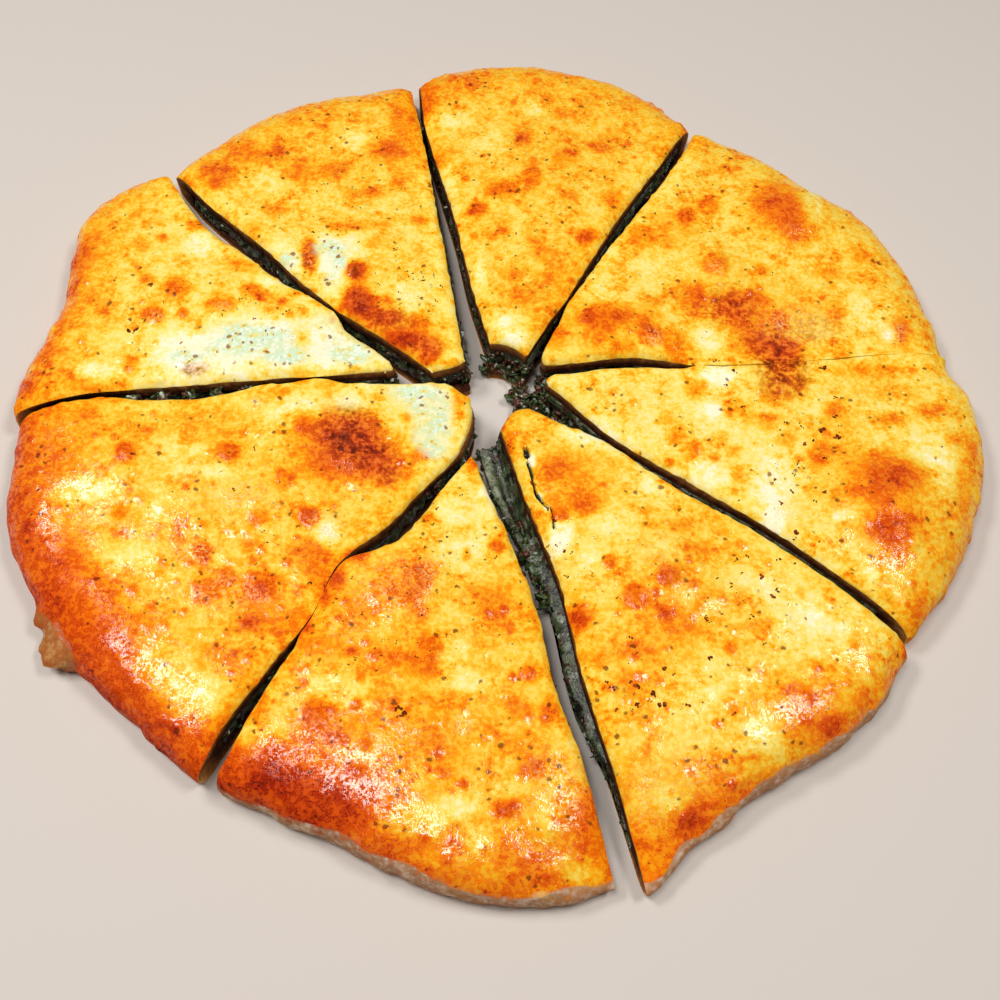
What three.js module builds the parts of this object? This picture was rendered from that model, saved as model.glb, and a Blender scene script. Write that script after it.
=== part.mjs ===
// A kubdari: a round, flat, filled bread, cut by four strokes of a knife into eight slices
// that still lie together in a ring. Each slice is a folded crust, open at its cuts and its tip,
// with a slab of filling that runs through it.
// Millimetres, +Z up. The bread lies on z = 0, and its near side is -Y.

import * as THREE from 'three';

// Thickness of the bread
const BODY_THICKNESS = 14;
const CRUST_THICKNESS = 3;
const FILLING_GAP = 0.5;

// How much lower the filling is where it is pressed out of a cut
const OOZE_SINK = 0.35;

// The rim: solid dough where the two layers are sealed, rounded above, tucked in below
const RIM_SEAM = 11;
const RIM_WIDTH = 18;
const RIM_FULLNESS = 2.5;
const LIP_HEIGHT = 4;
const LIP_TUCK = 6;

// How the knife pressed the crust down along a cut
const CUT_ROUNDING = 3.5;
const CUT_DROOP = 1.5;

// The middle of the bread's box, seen from the point where the cuts cross
const BREAD_MIDDLE = new THREE.Vector2(2.3, -1.4);

// The slices, counter-clockwise from the far side. A cut edge has the bearing of its knife stroke in
// degrees, and its distance to the left of the ray with that bearing, at even steps from tip to rim.
// tip is how far out the right and the left edge begin, bow how far the tip swells towards the middle,
// under how far the lower layer reaches past the upper one there, and rim the radius at even steps
// from the right edge to the left. ooze is how far the filling is pressed out of the right cut.
const SLICES = [
  {
    right: { bearing: 61.5, offsets: [-4.1, -4.5, -3.9, -3.5, -4.2, -4.4] },
    left: { bearing: 103.5, offsets: [-1.6, -0.5, -0.9, -0.2, 0.3, -1.8] },
    tip: [12, 13],
    bow: -1.5,
    under: 3,
    ooze: 0.4,
    rim: [132, 138, 141.5, 143, 143, 141.5, 136],
  },
  {
    right: { bearing: 3, offsets: [5.0, 6.6, 4.0, 4.8, 7.0, 8.2] },
    left: { bearing: 61, offsets: [-8.0, -5.0, -4.8, -6.4, -7.4, -5.4] },
    tip: [16, 16],
    bow: 1.5,
    under: 0,
    ooze: 0,
    rim: [138.5, 140.5, 142, 140, 135.5, 134, 132],
  },
  {
    right: { bearing: -37, offsets: [8.6, 5.4, 6.3, 8.2, 7.6, 6.4] },
    left: { bearing: 4.5, offsets: [1.8, 3.2, 1.8, 1.9, 3.5, 3.4] },
    tip: [13.5, 18],
    bow: 1.5,
    under: 1,
    ooze: 0.8,
    rim: [136.5, 139, 141.3, 143, 144.5, 144, 139.5],
  },
  {
    right: { bearing: -74, offsets: [-2.7, -2.0, -0.4, -2.0, -1.4, -1.5] },
    left: { bearing: -35, offsets: [-2.0, 1.9, 2.0, 2.4, 1.6, -1.0] },
    tip: [17, 14],
    bow: 2.5,
    under: 0,
    ooze: 3,
    rim: [148, 140.3, 137.2, 136.6, 139, 139, 137.5],
  },
  {
    right: { bearing: -122.5, offsets: [9, 8.8, 8.8, 0.8, 3.7, 4.8, 6.8, 9.0] },
    left: { bearing: -73, offsets: [-11.8, -9.8, -9.0, -10.5, -9.6, -10.8] },
    tip: [25, 28],
    bow: 0.5,
    under: 1,
    ooze: 0,
    rim: [136, 136, 136.5, 140.5, 144, 146.3, 144.5],
  },
  {
    right: { bearing: 186, offsets: [-0.3, -2.2, -2.2, 0.6, -1.4, 1.5] },
    left: { bearing: 237.5, offsets: [6.6, 4.6, 3.9, -0.2, 2.9, 3.2, 3.4, 4.8] },
    tip: [14, 27],
    bow: 7,
    under: 0,
    ooze: 0.3,
    rim: [137, 139.3, 141.5, 139, 137.5, 137, 137.8],
  },
  {
    right: { bearing: 139, offsets: [15.6, 16.3, 14.8, 17.2, 17.4, 18.0, 14.8, 10.0] },
    left: { bearing: 188, offsets: [-5.9, -5.8, -5.7, -6.8, -7.9, -4.0] },
    tip: [27, 31],
    bow: 2,
    under: 2,
    ooze: 0,
    rim: [140, 146.5, 146.3, 138.7, 135.7, 139, 140.5],
  },
  {
    right: { bearing: 101, offsets: [6.9, 6.7, 6.4, 6.3, 6.5, 6.6] },
    left: { bearing: 139, offsets: [10.4, 11.4, 13.6, 14.2, 12.1, 11.8, 11.0, 8.3] },
    tip: [8, 15],
    bow: 0.5,
    under: 3,
    ooze: 0.8,
    rim: [134.5, 135.5, 138, 138.7, 137.7, 137, 136.5],
  },
];

// Places where steam has lifted the crust, and the thin front corner where it has sunk
const SWELLINGS = [
  { x: 109, y: -39, radius: 15, rise: 4.5 },
  { x: 92, y: 70, radius: 13, rise: 3.5 },
  { x: 40, y: 21, radius: 14, rise: 2.5 },
  { x: 69, y: 44, radius: 12, rise: 2 },
  { x: -40, y: -23, radius: 18, rise: 2.5 },
  { x: -103, y: -33, radius: 14, rise: 1.5 },
  { x: -73, y: -42, radius: 20, rise: 1.5 },
  { x: -22, y: -66, radius: 15, rise: 3 },
  { x: -24, y: -99, radius: 22, rise: 2 },
  { x: 47, y: -64, radius: 16, rise: 2 },
  { x: 74, y: -97, radius: 20, rise: 1.5 },
  { x: -72, y: 10, radius: 20, rise: 2.5 },
  { x: -100, y: 30, radius: 20, rise: 1.5 },
  { x: -45, y: 45, radius: 18, rise: 2 },
  { x: 14, y: 72, radius: 24, rise: 2 },
  { x: 12, y: 22, radius: 10, rise: 2 },
  { x: 39, y: -143, radius: 26, rise: -6 },
];

// A lump of dough that hangs out of the near left rim, by its bearing in degrees
const RIM_LUMP = { bearing: 219.5, spread: 2.6, reach: 4.5 };

// How finely the shapes are divided
const COLUMNS = 18;
const COLUMN_CROWDING = 0.6;
const TOP_ROWS = 9;
const RIM_ROWS = 4;
const LIP_ROWS = 3;
const BASE_ROWS = 3;
const LINING_ROWS = 5;

const CRUST_COLOUR = 0xe0a03c;
const CRUST_ROUGHNESS = 0.45;
const FILLING_COLOUR = 0x3a3f28;
const FILLING_ROUGHNESS = 0.7;

const { degToRad, radToDeg, lerp, euclideanModulo } = THREE.MathUtils;
const FULL_TURN = 2 * Math.PI;
const QUARTER_TURN = FULL_TURN / 4;

// A point by its reach along a bearing and its distance to the left of that ray.
function fromRay(bearing, reach, left) {
  const angle = degToRad(bearing);
  return new THREE.Vector2(
    reach * Math.cos(angle) - left * Math.sin(angle),
    reach * Math.sin(angle) + left * Math.cos(angle),
  );
}

// A smooth curve through values at even steps from 0 to 1.
function evenCurve(values) {
  const last = values.length - 1;
  const curve = new THREE.SplineCurve(values.map((value, i) => new THREE.Vector2(i / last, value)));
  return (t) => curve.getPoint(t).y;
}

function evenSteps(from, to, count) {
  return Array.from({ length: count + 1 }, (_, i) => lerp(from, to, i / count));
}

// A cut edge, from 0 at the tip to 1 at the rim.
function cutEdge({ bearing, offsets }, tipReach, rimRadius) {
  const offset = evenCurve(offsets);
  const rimReach = Math.sqrt(rimRadius ** 2 - offsets.at(-1) ** 2);
  return (v) => fromRay(bearing, lerp(tipReach, rimReach, v), offset(v));
}

// The rim, from 0 at the right corner to 1 at the left one.
function rimCurve(radii, rightCorner, leftCorner) {
  const radius = evenCurve(radii);
  const start = rightCorner.angle();
  const sweep = euclideanModulo(leftCorner.angle() - start, FULL_TURN);
  return (u) => fromRay(radToDeg(start + sweep * u), radius(u), 0);
}

// A slice seen from above: u runs from its right cut to its left one, v from its tip to its rim.
function slicePlan(slice) {
  const right = cutEdge(slice.right, slice.tip[0], slice.rim[0]);
  const left = cutEdge(slice.left, slice.tip[1], slice.rim.at(-1));
  const rim = rimCurve(slice.rim, right(1), left(1));
  const inward = right(0).lerp(left(0), 0.5).sub(rim(0.5)).normalize();
  const width = (v) => right(v).distanceTo(left(v));

  function at(u, v) {
    const across = right(v).lerp(left(v), u);
    const rimSwell = rim(u).sub(right(1).lerp(left(1), u)).multiplyScalar(v);
    const tipSwell = slice.bow * 4 * u * (1 - u) * (1 - v) ** 3;
    return across.add(rimSwell).addScaledVector(inward, tipSwell);
  }
  return { at, width, inward };
}

// Height of the crust's top at a point that is so far in from the rim and from the nearest cut.
function topHeight(point, fromRim, fromCut) {
  let body = BODY_THICKNESS;
  for (const { x, y, radius, rise } of SWELLINGS) {
    body += rise * Math.exp(-((point.x - x) ** 2 + (point.y - y) ** 2) / radius ** 2);
  }
  body -= CUT_DROOP * Math.max(0, 1 - fromCut / CUT_ROUNDING) ** 2;
  const inRim = Math.min(fromRim / RIM_WIDTH, 1);
  const roundness = (1 - (1 - inRim) ** RIM_FULLNESS) ** (1 / RIM_FULLNESS);
  return LIP_HEIGHT + (body - LIP_HEIGHT) * roundness;
}

// One column of a slice: ways to find a point by how far it is in from the rim, at a given height.
function sliceColumn(plan, u) {
  const length = plan.at(u, 0).distanceTo(plan.at(u, 1));
  const share = (fromRim) => 1 - fromRim / length;

  function flat(fromRim, z, outward = 0) {
    const place = plan.at(u, Math.max(share(fromRim), 0));
    if (fromRim > length) {
      place.addScaledVector(plan.inward, fromRim - length);
    }
    place.setLength(place.length() + outward);
    return new THREE.Vector3(place.x, place.y, z);
  }

  function top(fromRim, below = 0) {
    const v = share(fromRim);
    const place = plan.at(u, v);
    const fromCut = Math.min(Math.min(u, 1 - u) * plan.width(v), length - fromRim);
    return new THREE.Vector3(place.x, place.y, topHeight(place, fromRim, fromCut) - below);
  }
  return { length, flat, top };
}

// The crust's section along a column, as two rails: the outside, over the top, round the rim and back
// underneath, and the inside of both layers.
function crustSection(column, slice) {
  const { length, flat, top } = column;
  const lowerTip = length + slice.under;
  const outside = [];
  for (const fromRim of [length, length - CUT_ROUNDING / 2]) {
    outside.push(top(fromRim));
  }
  for (const fromRim of evenSteps(length - CUT_ROUNDING, RIM_WIDTH, TOP_ROWS - 2)) {
    outside.push(top(fromRim));
  }
  for (const angle of evenSteps(QUARTER_TURN, 0, RIM_ROWS).slice(1)) {
    outside.push(top(RIM_WIDTH * (1 - Math.cos(angle))));
  }
  const rim = outside.at(-1);
  const offLump = radToDeg(new THREE.Vector2(rim.x, rim.y).angleTo(fromRay(RIM_LUMP.bearing, 1, 0)));
  const lump = RIM_LUMP.reach * Math.exp(-((offLump / RIM_LUMP.spread) ** 2));
  for (const angle of evenSteps(0, QUARTER_TURN, LIP_ROWS).slice(1)) {
    const fromRim = LIP_TUCK * (1 - Math.cos(angle));
    outside.push(flat(fromRim, LIP_HEIGHT * (1 - Math.sin(angle)), lump * Math.cos(angle)));
  }
  for (const fromRim of evenSteps(LIP_TUCK, lowerTip, BASE_ROWS).slice(1)) {
    outside.push(flat(fromRim, 0));
  }
  const inside = [
    ...evenSteps(length, RIM_SEAM, LINING_ROWS).map((fromRim) => top(fromRim, CRUST_THICKNESS)),
    ...evenSteps(RIM_SEAM, lowerTip, BASE_ROWS).map((fromRim) => flat(fromRim, CRUST_THICKNESS)),
  ];
  return [outside, inside];
}

// The filling's section along a column, clear of both layers of the crust: its top and its underside.
function fillingSection(column) {
  const { length, flat, top } = column;
  const cover = CRUST_THICKNESS + FILLING_GAP;
  const seam = RIM_SEAM + FILLING_GAP;
  return [
    evenSteps(length, seam, LINING_ROWS).map((fromRim) => top(fromRim, cover)),
    evenSteps(length, seam, BASE_ROWS).map((fromRim) => flat(fromRim, cover)),
  ];
}

// Filling pressed out of the right cut: its first section again, lower, thinner and further out.
function oozedSection(section, reach, outward) {
  const low = CRUST_THICKNESS + FILLING_GAP;
  return section.map((rail) =>
    rail.map((point) => {
      const lowered = lerp(point.z, low, OOZE_SINK);
      return new THREE.Vector3(point.x + outward.x * reach, point.y + outward.y * reach, lowered);
    }),
  );
}

// How far along a rail each of its points lies, from 0 to 1.
function railShares(rail) {
  const reached = [0];
  rail.slice(1).forEach((point, i) => reached.push(reached[i] + point.distanceTo(rail[i])));
  return reached.map((length) => length / reached.at(-1));
}

// Triangles across a section from rail to rail, by the places of their corners in the section's loop.
function fillSection([firstRail, secondRail]) {
  const first = railShares(firstRail);
  const second = railShares(secondRail);
  const loopEnd = first.length + second.length - 1;
  const triangles = [];
  let i = 0;
  let j = 0;
  while (i + 1 < first.length || j + 1 < second.length) {
    if (j + 1 === second.length || first[i + 1] <= second[j + 1]) {
      triangles.push([i, i + 1, loopEnd - j]);
      i += 1;
    } else {
      triangles.push([i, loopEnd - j - 1, loopEnd - j]);
      j += 1;
    }
  }
  return triangles;
}

// A closed solid through a row of like sections, from the right cut to the left one. Each section's
// loop runs along its first rail and back along its second.
function solidFrom(sections) {
  const loops = sections.map(([firstRail, secondRail]) => [...firstRail, ...secondRail.toReversed()]);
  const size = loops[0].length;
  const lastStart = (loops.length - 1) * size;
  const positions = loops.flat().flatMap((point) => [point.x, point.y, point.z]);
  const indices = [];
  for (let start = 0; start < lastStart; start += size) {
    for (let j = 0; j < size; j += 1) {
      const a = start + j;
      const b = start + ((j + 1) % size);
      indices.push(a, b, b + size, a, b + size, a + size);
    }
  }
  for (const [a, b, c] of fillSection(sections[0])) {
    indices.push(c, b, a);
  }
  for (const [a, b, c] of fillSection(sections.at(-1))) {
    indices.push(a + lastStart, b + lastStart, c + lastStart);
  }
  const geometry = new THREE.BufferGeometry();
  geometry.setAttribute('position', new THREE.Float32BufferAttribute(positions, 3));
  geometry.setIndex(indices);
  geometry.computeVertexNormals();
  return geometry;
}

// Columns across a slice, closer together near its cuts.
function columnPlaces() {
  return evenSteps(0, 1, COLUMNS).map(
    (t) => t - (COLUMN_CROWDING * Math.sin(FULL_TURN * t)) / FULL_TURN,
  );
}

function sliceMeshes(slice, number) {
  const plan = slicePlan(slice);
  const columns = columnPlaces().map((u) => sliceColumn(plan, u));
  const crust = new THREE.Mesh(
    solidFrom(columns.map((column) => crustSection(column, slice))),
    new THREE.MeshStandardMaterial({ color: CRUST_COLOUR, roughness: CRUST_ROUGHNESS, metalness: 0 }),
  );
  crust.name = `crust_${number}`;

  const fillingSections = columns.map(fillingSection);
  if (slice.ooze > 0) {
    const outward = fromRay(slice.right.bearing, 0, -1);
    fillingSections.unshift(oozedSection(fillingSections[0], slice.ooze, outward));
  }
  const filling = new THREE.Mesh(
    solidFrom(fillingSections),
    new THREE.MeshStandardMaterial({ color: FILLING_COLOUR, roughness: FILLING_ROUGHNESS, metalness: 0 }),
  );
  filling.name = `filling_${number}`;
  return [crust, filling];
}

const kubdari = new THREE.Group();
SLICES.forEach((slice, index) => kubdari.add(...sliceMeshes(slice, index + 1)));
kubdari.position.set(-BREAD_MIDDLE.x, -BREAD_MIDDLE.y, 0);

export default kubdari;
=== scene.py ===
import math

import bmesh
import bpy
import numpy as np
from mathutils import Matrix, Vector


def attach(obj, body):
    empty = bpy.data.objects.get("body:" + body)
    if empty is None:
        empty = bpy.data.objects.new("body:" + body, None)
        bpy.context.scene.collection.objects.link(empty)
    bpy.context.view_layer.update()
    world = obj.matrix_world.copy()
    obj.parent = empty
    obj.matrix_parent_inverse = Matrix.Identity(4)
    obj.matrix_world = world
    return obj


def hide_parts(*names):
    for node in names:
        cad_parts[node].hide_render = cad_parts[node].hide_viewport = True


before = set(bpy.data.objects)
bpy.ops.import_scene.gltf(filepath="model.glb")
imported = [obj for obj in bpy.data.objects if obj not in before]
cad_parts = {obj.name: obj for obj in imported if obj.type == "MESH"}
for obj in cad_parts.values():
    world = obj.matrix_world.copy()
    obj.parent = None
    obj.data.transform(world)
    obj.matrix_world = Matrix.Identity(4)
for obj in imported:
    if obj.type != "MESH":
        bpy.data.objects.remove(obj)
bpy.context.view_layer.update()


# The crust
# Eight slices of one round, flat bread. Each is a folded sheet of leavened dough, an upper and a lower
# layer that are one solid rim outside and stand open at the cuts, baked in a pan and brushed with butter.
MM = 0.001
BODY_THICKNESS = 14
CRUST_THICKNESS = 3
RIM_SEAM = 11
RIM_WIDTH = 18
RIM_FULLNESS = 2.5
LIP_HEIGHT = 4
LIP_TUCK = 6
CUT_ROUNDING = 3.5
CUT_DROOP = 1.5
BREAD_MIDDLE = np.array((2.3, -1.4))

# The slices in millimetres from the point where the cuts cross, counter-clockwise from the far side.
# A cut has its bearing and its distance to the left of that ray at even steps from tip to rim, tip is
# how far out the right and the left cut begin, bow how far the tip swells towards the middle, under how
# far the lower layer reaches past the upper one, rim the radius from the right cut to the left one, and
# ooze how far the filling is pressed out of the right cut.
SLICES = (
    dict(right=(61.5, (-4.1, -4.5, -3.9, -3.5, -4.2, -4.4)),
         left=(103.5, (-1.6, -0.5, -0.9, -0.2, 0.3, -1.8)),
         tip=(12, 13), bow=-1.5, under=3, ooze=0.4, rim=(132, 138, 141.5, 143, 143, 141.5, 136)),
    dict(right=(3, (5.0, 6.6, 4.0, 4.8, 7.0, 8.2)),
         left=(61, (-8.0, -5.0, -4.8, -6.4, -7.4, -5.4)),
         tip=(16, 16), bow=1.5, under=0, ooze=0, rim=(138.5, 140.5, 142, 140, 135.5, 134, 132)),
    dict(right=(-37, (8.6, 5.4, 6.3, 8.2, 7.6, 6.4)),
         left=(4.5, (1.8, 3.2, 1.8, 1.9, 3.5, 3.4)),
         tip=(13.5, 18), bow=1.5, under=1, ooze=0.8, rim=(136.5, 139, 141.3, 143, 144.5, 144, 139.5)),
    dict(right=(-74, (-2.7, -2.0, -0.4, -2.0, -1.4, -1.5)),
         left=(-35, (-2.0, 1.9, 2.0, 2.4, 1.6, -1.0)),
         tip=(17, 14), bow=2.5, under=0, ooze=3, rim=(148, 140.3, 137.2, 136.6, 139, 139, 137.5)),
    dict(right=(-122.5, (9, 8.8, 8.8, 0.8, 3.7, 4.8, 6.8, 9.0)),
         left=(-73, (-11.8, -9.8, -9.0, -10.5, -9.6, -10.8)),
         tip=(25, 28), bow=0.5, under=1, ooze=0, rim=(136, 136, 136.5, 140.5, 144, 146.3, 144.5)),
    dict(right=(186, (-0.3, -2.2, -2.2, 0.6, -1.4, 1.5)),
         left=(237.5, (6.6, 4.6, 3.9, -0.2, 2.9, 3.2, 3.4, 4.8)),
         tip=(14, 27), bow=7, under=0, ooze=0.3, rim=(137, 139.3, 141.5, 139, 137.5, 137, 137.8)),
    dict(right=(139, (15.6, 16.3, 14.8, 17.2, 17.4, 18.0, 14.8, 10.0)),
         left=(188, (-5.9, -5.8, -5.7, -6.8, -7.9, -4.0)),
         tip=(27, 31), bow=2, under=2, ooze=0, rim=(140, 146.5, 146.3, 138.7, 135.7, 139, 140.5)),
    dict(right=(101, (6.9, 6.7, 6.4, 6.3, 6.5, 6.6)),
         left=(139, (10.4, 11.4, 13.6, 14.2, 12.1, 11.8, 11.0, 8.3)),
         tip=(8, 15), bow=0.5, under=3, ooze=0.8, rim=(134.5, 135.5, 138, 138.7, 137.7, 137, 136.5)),
)

# Where steam has lifted the crust, and the thin front corner where it has sunk: x, y, radius, rise.
SWELLINGS = (
    (109, -39, 15, 4.5), (92, 70, 13, 3.5), (40, 21, 14, 2.5), (69, 44, 12, 2), (-40, -23, 18, 2.5),
    (-103, -33, 14, 1.5), (-73, -42, 20, 1.5), (-22, -66, 15, 3), (-24, -99, 22, 2), (47, -64, 16, 2),
    (74, -97, 20, 1.5), (-72, 10, 20, 2.5), (-100, 30, 20, 1.5), (-45, 45, 18, 2), (14, 72, 24, 2),
    (12, 22, 10, 2), (39, -143, 26, -6),
)
# Lumps of dough on the rim at the left: bearing, spread in degrees, reach.
RIM_LUMPS = ((217.2, 2.8, 5.5), (212.8, 1.2, 2.0))

# The viewer, in millimetres from the middle of the bread's underside, and the picture it sees.
EYE = np.array((-4.26, -190.3, 275.4))
AIM = np.array((0.5, -31.7, 0))
ROLL = math.radians(3.17)
PICTURE = 1000
FOCAL = 1100


def unit(vector):
    return vector / np.linalg.norm(vector, axis=-1, keepdims=True)


def ease(value, start, end):
    """From 0 at start to 1 at end, and level beyond them."""
    return np.clip((value - start) / (end - start), 0, 1)


def viewer_axes():
    """Which way is right, up and ahead for the viewer."""
    ahead = unit(AIM - EYE)
    level = unit(np.cross(ahead, (0, 0, 1)))
    overhead = np.cross(level, ahead)
    right = math.cos(ROLL) * level + math.sin(ROLL) * overhead
    return right, np.cross(right, ahead), ahead


def seen_at(points):
    """Where points, in millimetres, lie in the picture, in pixels."""
    right, up, ahead = viewer_axes()
    place = points - EYE
    depth = place @ ahead
    across, down = FOCAL * (place @ right) / depth, -FOCAL * (place @ up) / depth
    return PICTURE / 2 + np.stack((across, down), -1)


def at_height(plan, z):
    """Points in plan, set at a height."""
    return np.concatenate((plan, np.broadcast_to(z, plan.shape[:-1])[..., None]), -1)


def picture_place(plan):
    """Where a point of the crust's top, given in plan, lies in the picture."""
    return seen_at(at_height(plan - BREAD_MIDDLE, BODY_THICKNESS))


def from_ray(bearing, reach, left):
    """A point by its reach along a bearing and its distance to the left of that ray."""
    x, y = np.cos(np.radians(bearing)), np.sin(np.radians(bearing))
    return np.stack((reach * x - left * y, reach * y + left * x), -1)


def even_curve(values, t):
    """A smooth curve through values at even steps from 0 to 1."""
    spans = len(values) - 1
    place = np.clip(t, 0, 1) * spans
    i = np.minimum(place.astype(int), spans - 1)
    w = place - i
    held = np.concatenate(((values[0],), values, (values[-1],))).astype(float)
    before, start, end, after = (held[i + step] for step in range(4))
    leave, arrive = (end - before) / 2, (after - start) / 2
    cubed = 2 * start - 2 * end + leave + arrive
    squared = 3 * (end - start) - 2 * leave - arrive
    return (cubed * w + squared) * w**2 + leave * w + start


class Plan:
    """A slice from above: u runs from its right cut to its left one, v from its tip to its rim."""

    def __init__(self, shape):
        self.shape = shape
        ends = self.cut("right", np.array(1.0)), self.cut("left", np.array(1.0))
        angles = [math.atan2(y, x) for x, y in ends]
        self.start = angles[0]
        self.sweep = (angles[1] - angles[0]) % (2 * math.pi)
        tip = (self.cut("right", np.array(0.0)) + self.cut("left", np.array(0.0))) / 2
        self.inward = unit(tip - self.rim(np.array(0.5)))

    def cut(self, side, v):
        bearing, offsets = self.shape[side]
        last = 0 if side == "right" else -1
        begin = self.shape["tip"][last]
        end = math.sqrt(self.shape["rim"][last] ** 2 - offsets[-1] ** 2)
        return from_ray(bearing, begin + (end - begin) * v, even_curve(offsets, v))

    def rim(self, u):
        return from_ray(np.degrees(self.start + self.sweep * u), even_curve(self.shape["rim"], u), 0)

    def across(self, u, v):
        right, left = self.cut("right", v), self.cut("left", v)
        return right + (left - right) * u[..., None]

    def at(self, u, v):
        swell = (self.rim(u) - self.across(u, np.ones_like(u))) * v[..., None]
        bow = self.shape["bow"] * 4 * u * (1 - u) * (1 - v) ** 3
        return self.across(u, v) + swell + bow[..., None] * self.inward

    def width(self, v):
        return np.linalg.norm(self.cut("right", v) - self.cut("left", v), axis=-1)


CHANCE = np.random.default_rng(41).random((32, 32, 32))
LAYER_STEP = 11.37


def unevenness(place, size, layer=0):
    """Smooth chance values from -1 to 1 that change over about size millimetres."""
    cell = place / size + LAYER_STEP * layer
    low = np.floor(cell).astype(int)
    part = cell - low
    part = part * part * (3 - 2 * part)
    total = np.zeros(place.shape[:-1])
    for corner in np.ndindex(2, 2, 2):
        weight = np.prod(np.where(np.array(corner) == 1, part, 1 - part), -1)
        x, y, z = np.moveaxis((low + corner) % len(CHANCE), -1, 0)
        total += weight * CHANCE[x, y, z]
    return 2 * total - 1


def waves(place, *layers):
    """Unevenness of several widths together: the height, width and number of each layer."""
    return sum(height * unevenness(place, width, number) for height, width, number in layers)


def soft_spots(spots, picture, widen=1):
    """The sum of soft oval spots: x, y, half width, half height in picture pixels, and strength."""
    total = np.zeros(picture.shape[:-1])
    for x, y, wide, high, strength in spots:
        off = ((picture[..., 0] - x) / (widen * wide)) ** 2 + ((picture[..., 1] - y) / (widen * high)) ** 2
        total += strength * np.exp(-(off**1.5))
    return total


def body_height(plan):
    height = np.full(plan.shape[:-1], float(BODY_THICKNESS))
    for x, y, radius, rise in SWELLINGS:
        height += rise * np.exp(-((plan[..., 0] - x) ** 2 + (plan[..., 1] - y) ** 2) / radius**2)
    return height


def cut_droop(from_cut):
    """How far the top droops next to a cut."""
    return CUT_DROOP * np.maximum(0, 1 - from_cut / CUT_ROUNDING) ** 2


def top_height(plan, from_rim, from_cut):
    body = body_height(plan) - cut_droop(from_cut)
    in_rim = np.clip(from_rim / RIM_WIDTH, 0, 1)
    roundness = (1 - (1 - in_rim) ** RIM_FULLNESS) ** (1 / RIM_FULLNESS)
    return LIP_HEIGHT + (body - LIP_HEIGHT) * roundness


class Column:
    """Points of a slice by u and by how far they are in from the rim."""

    def __init__(self, plan, u):
        self.plan, self.u = plan, u
        zero = np.zeros_like(u)
        self.length = np.linalg.norm(plan.at(u, zero) - plan.at(u, zero + 1), axis=-1)

    def place(self, from_rim, outward=0):
        share = 1 - from_rim / self.length
        u = np.broadcast_to(self.u, share.shape)
        plan = self.plan.at(u, np.maximum(share, 0))
        plan = plan + np.maximum(from_rim - self.length, 0)[..., None] * self.plan.inward
        reach = np.linalg.norm(plan, axis=-1, keepdims=True)
        return plan * (1 + np.expand_dims(outward, -1) / reach)

    def flat(self, from_rim, z, outward=0):
        return at_height(self.place(from_rim, outward), z)

    def from_cut(self, from_rim):
        share = np.clip(1 - from_rim / self.length, 0, 1)
        aside = np.minimum(self.u, 1 - self.u) * self.plan.width(share)
        return np.minimum(aside, np.maximum(self.length - from_rim, 0))

    def top(self, from_rim, below=0):
        plan = self.place(from_rim)
        return at_height(plan, top_height(plan, from_rim, self.from_cut(from_rim)) - below)


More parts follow.
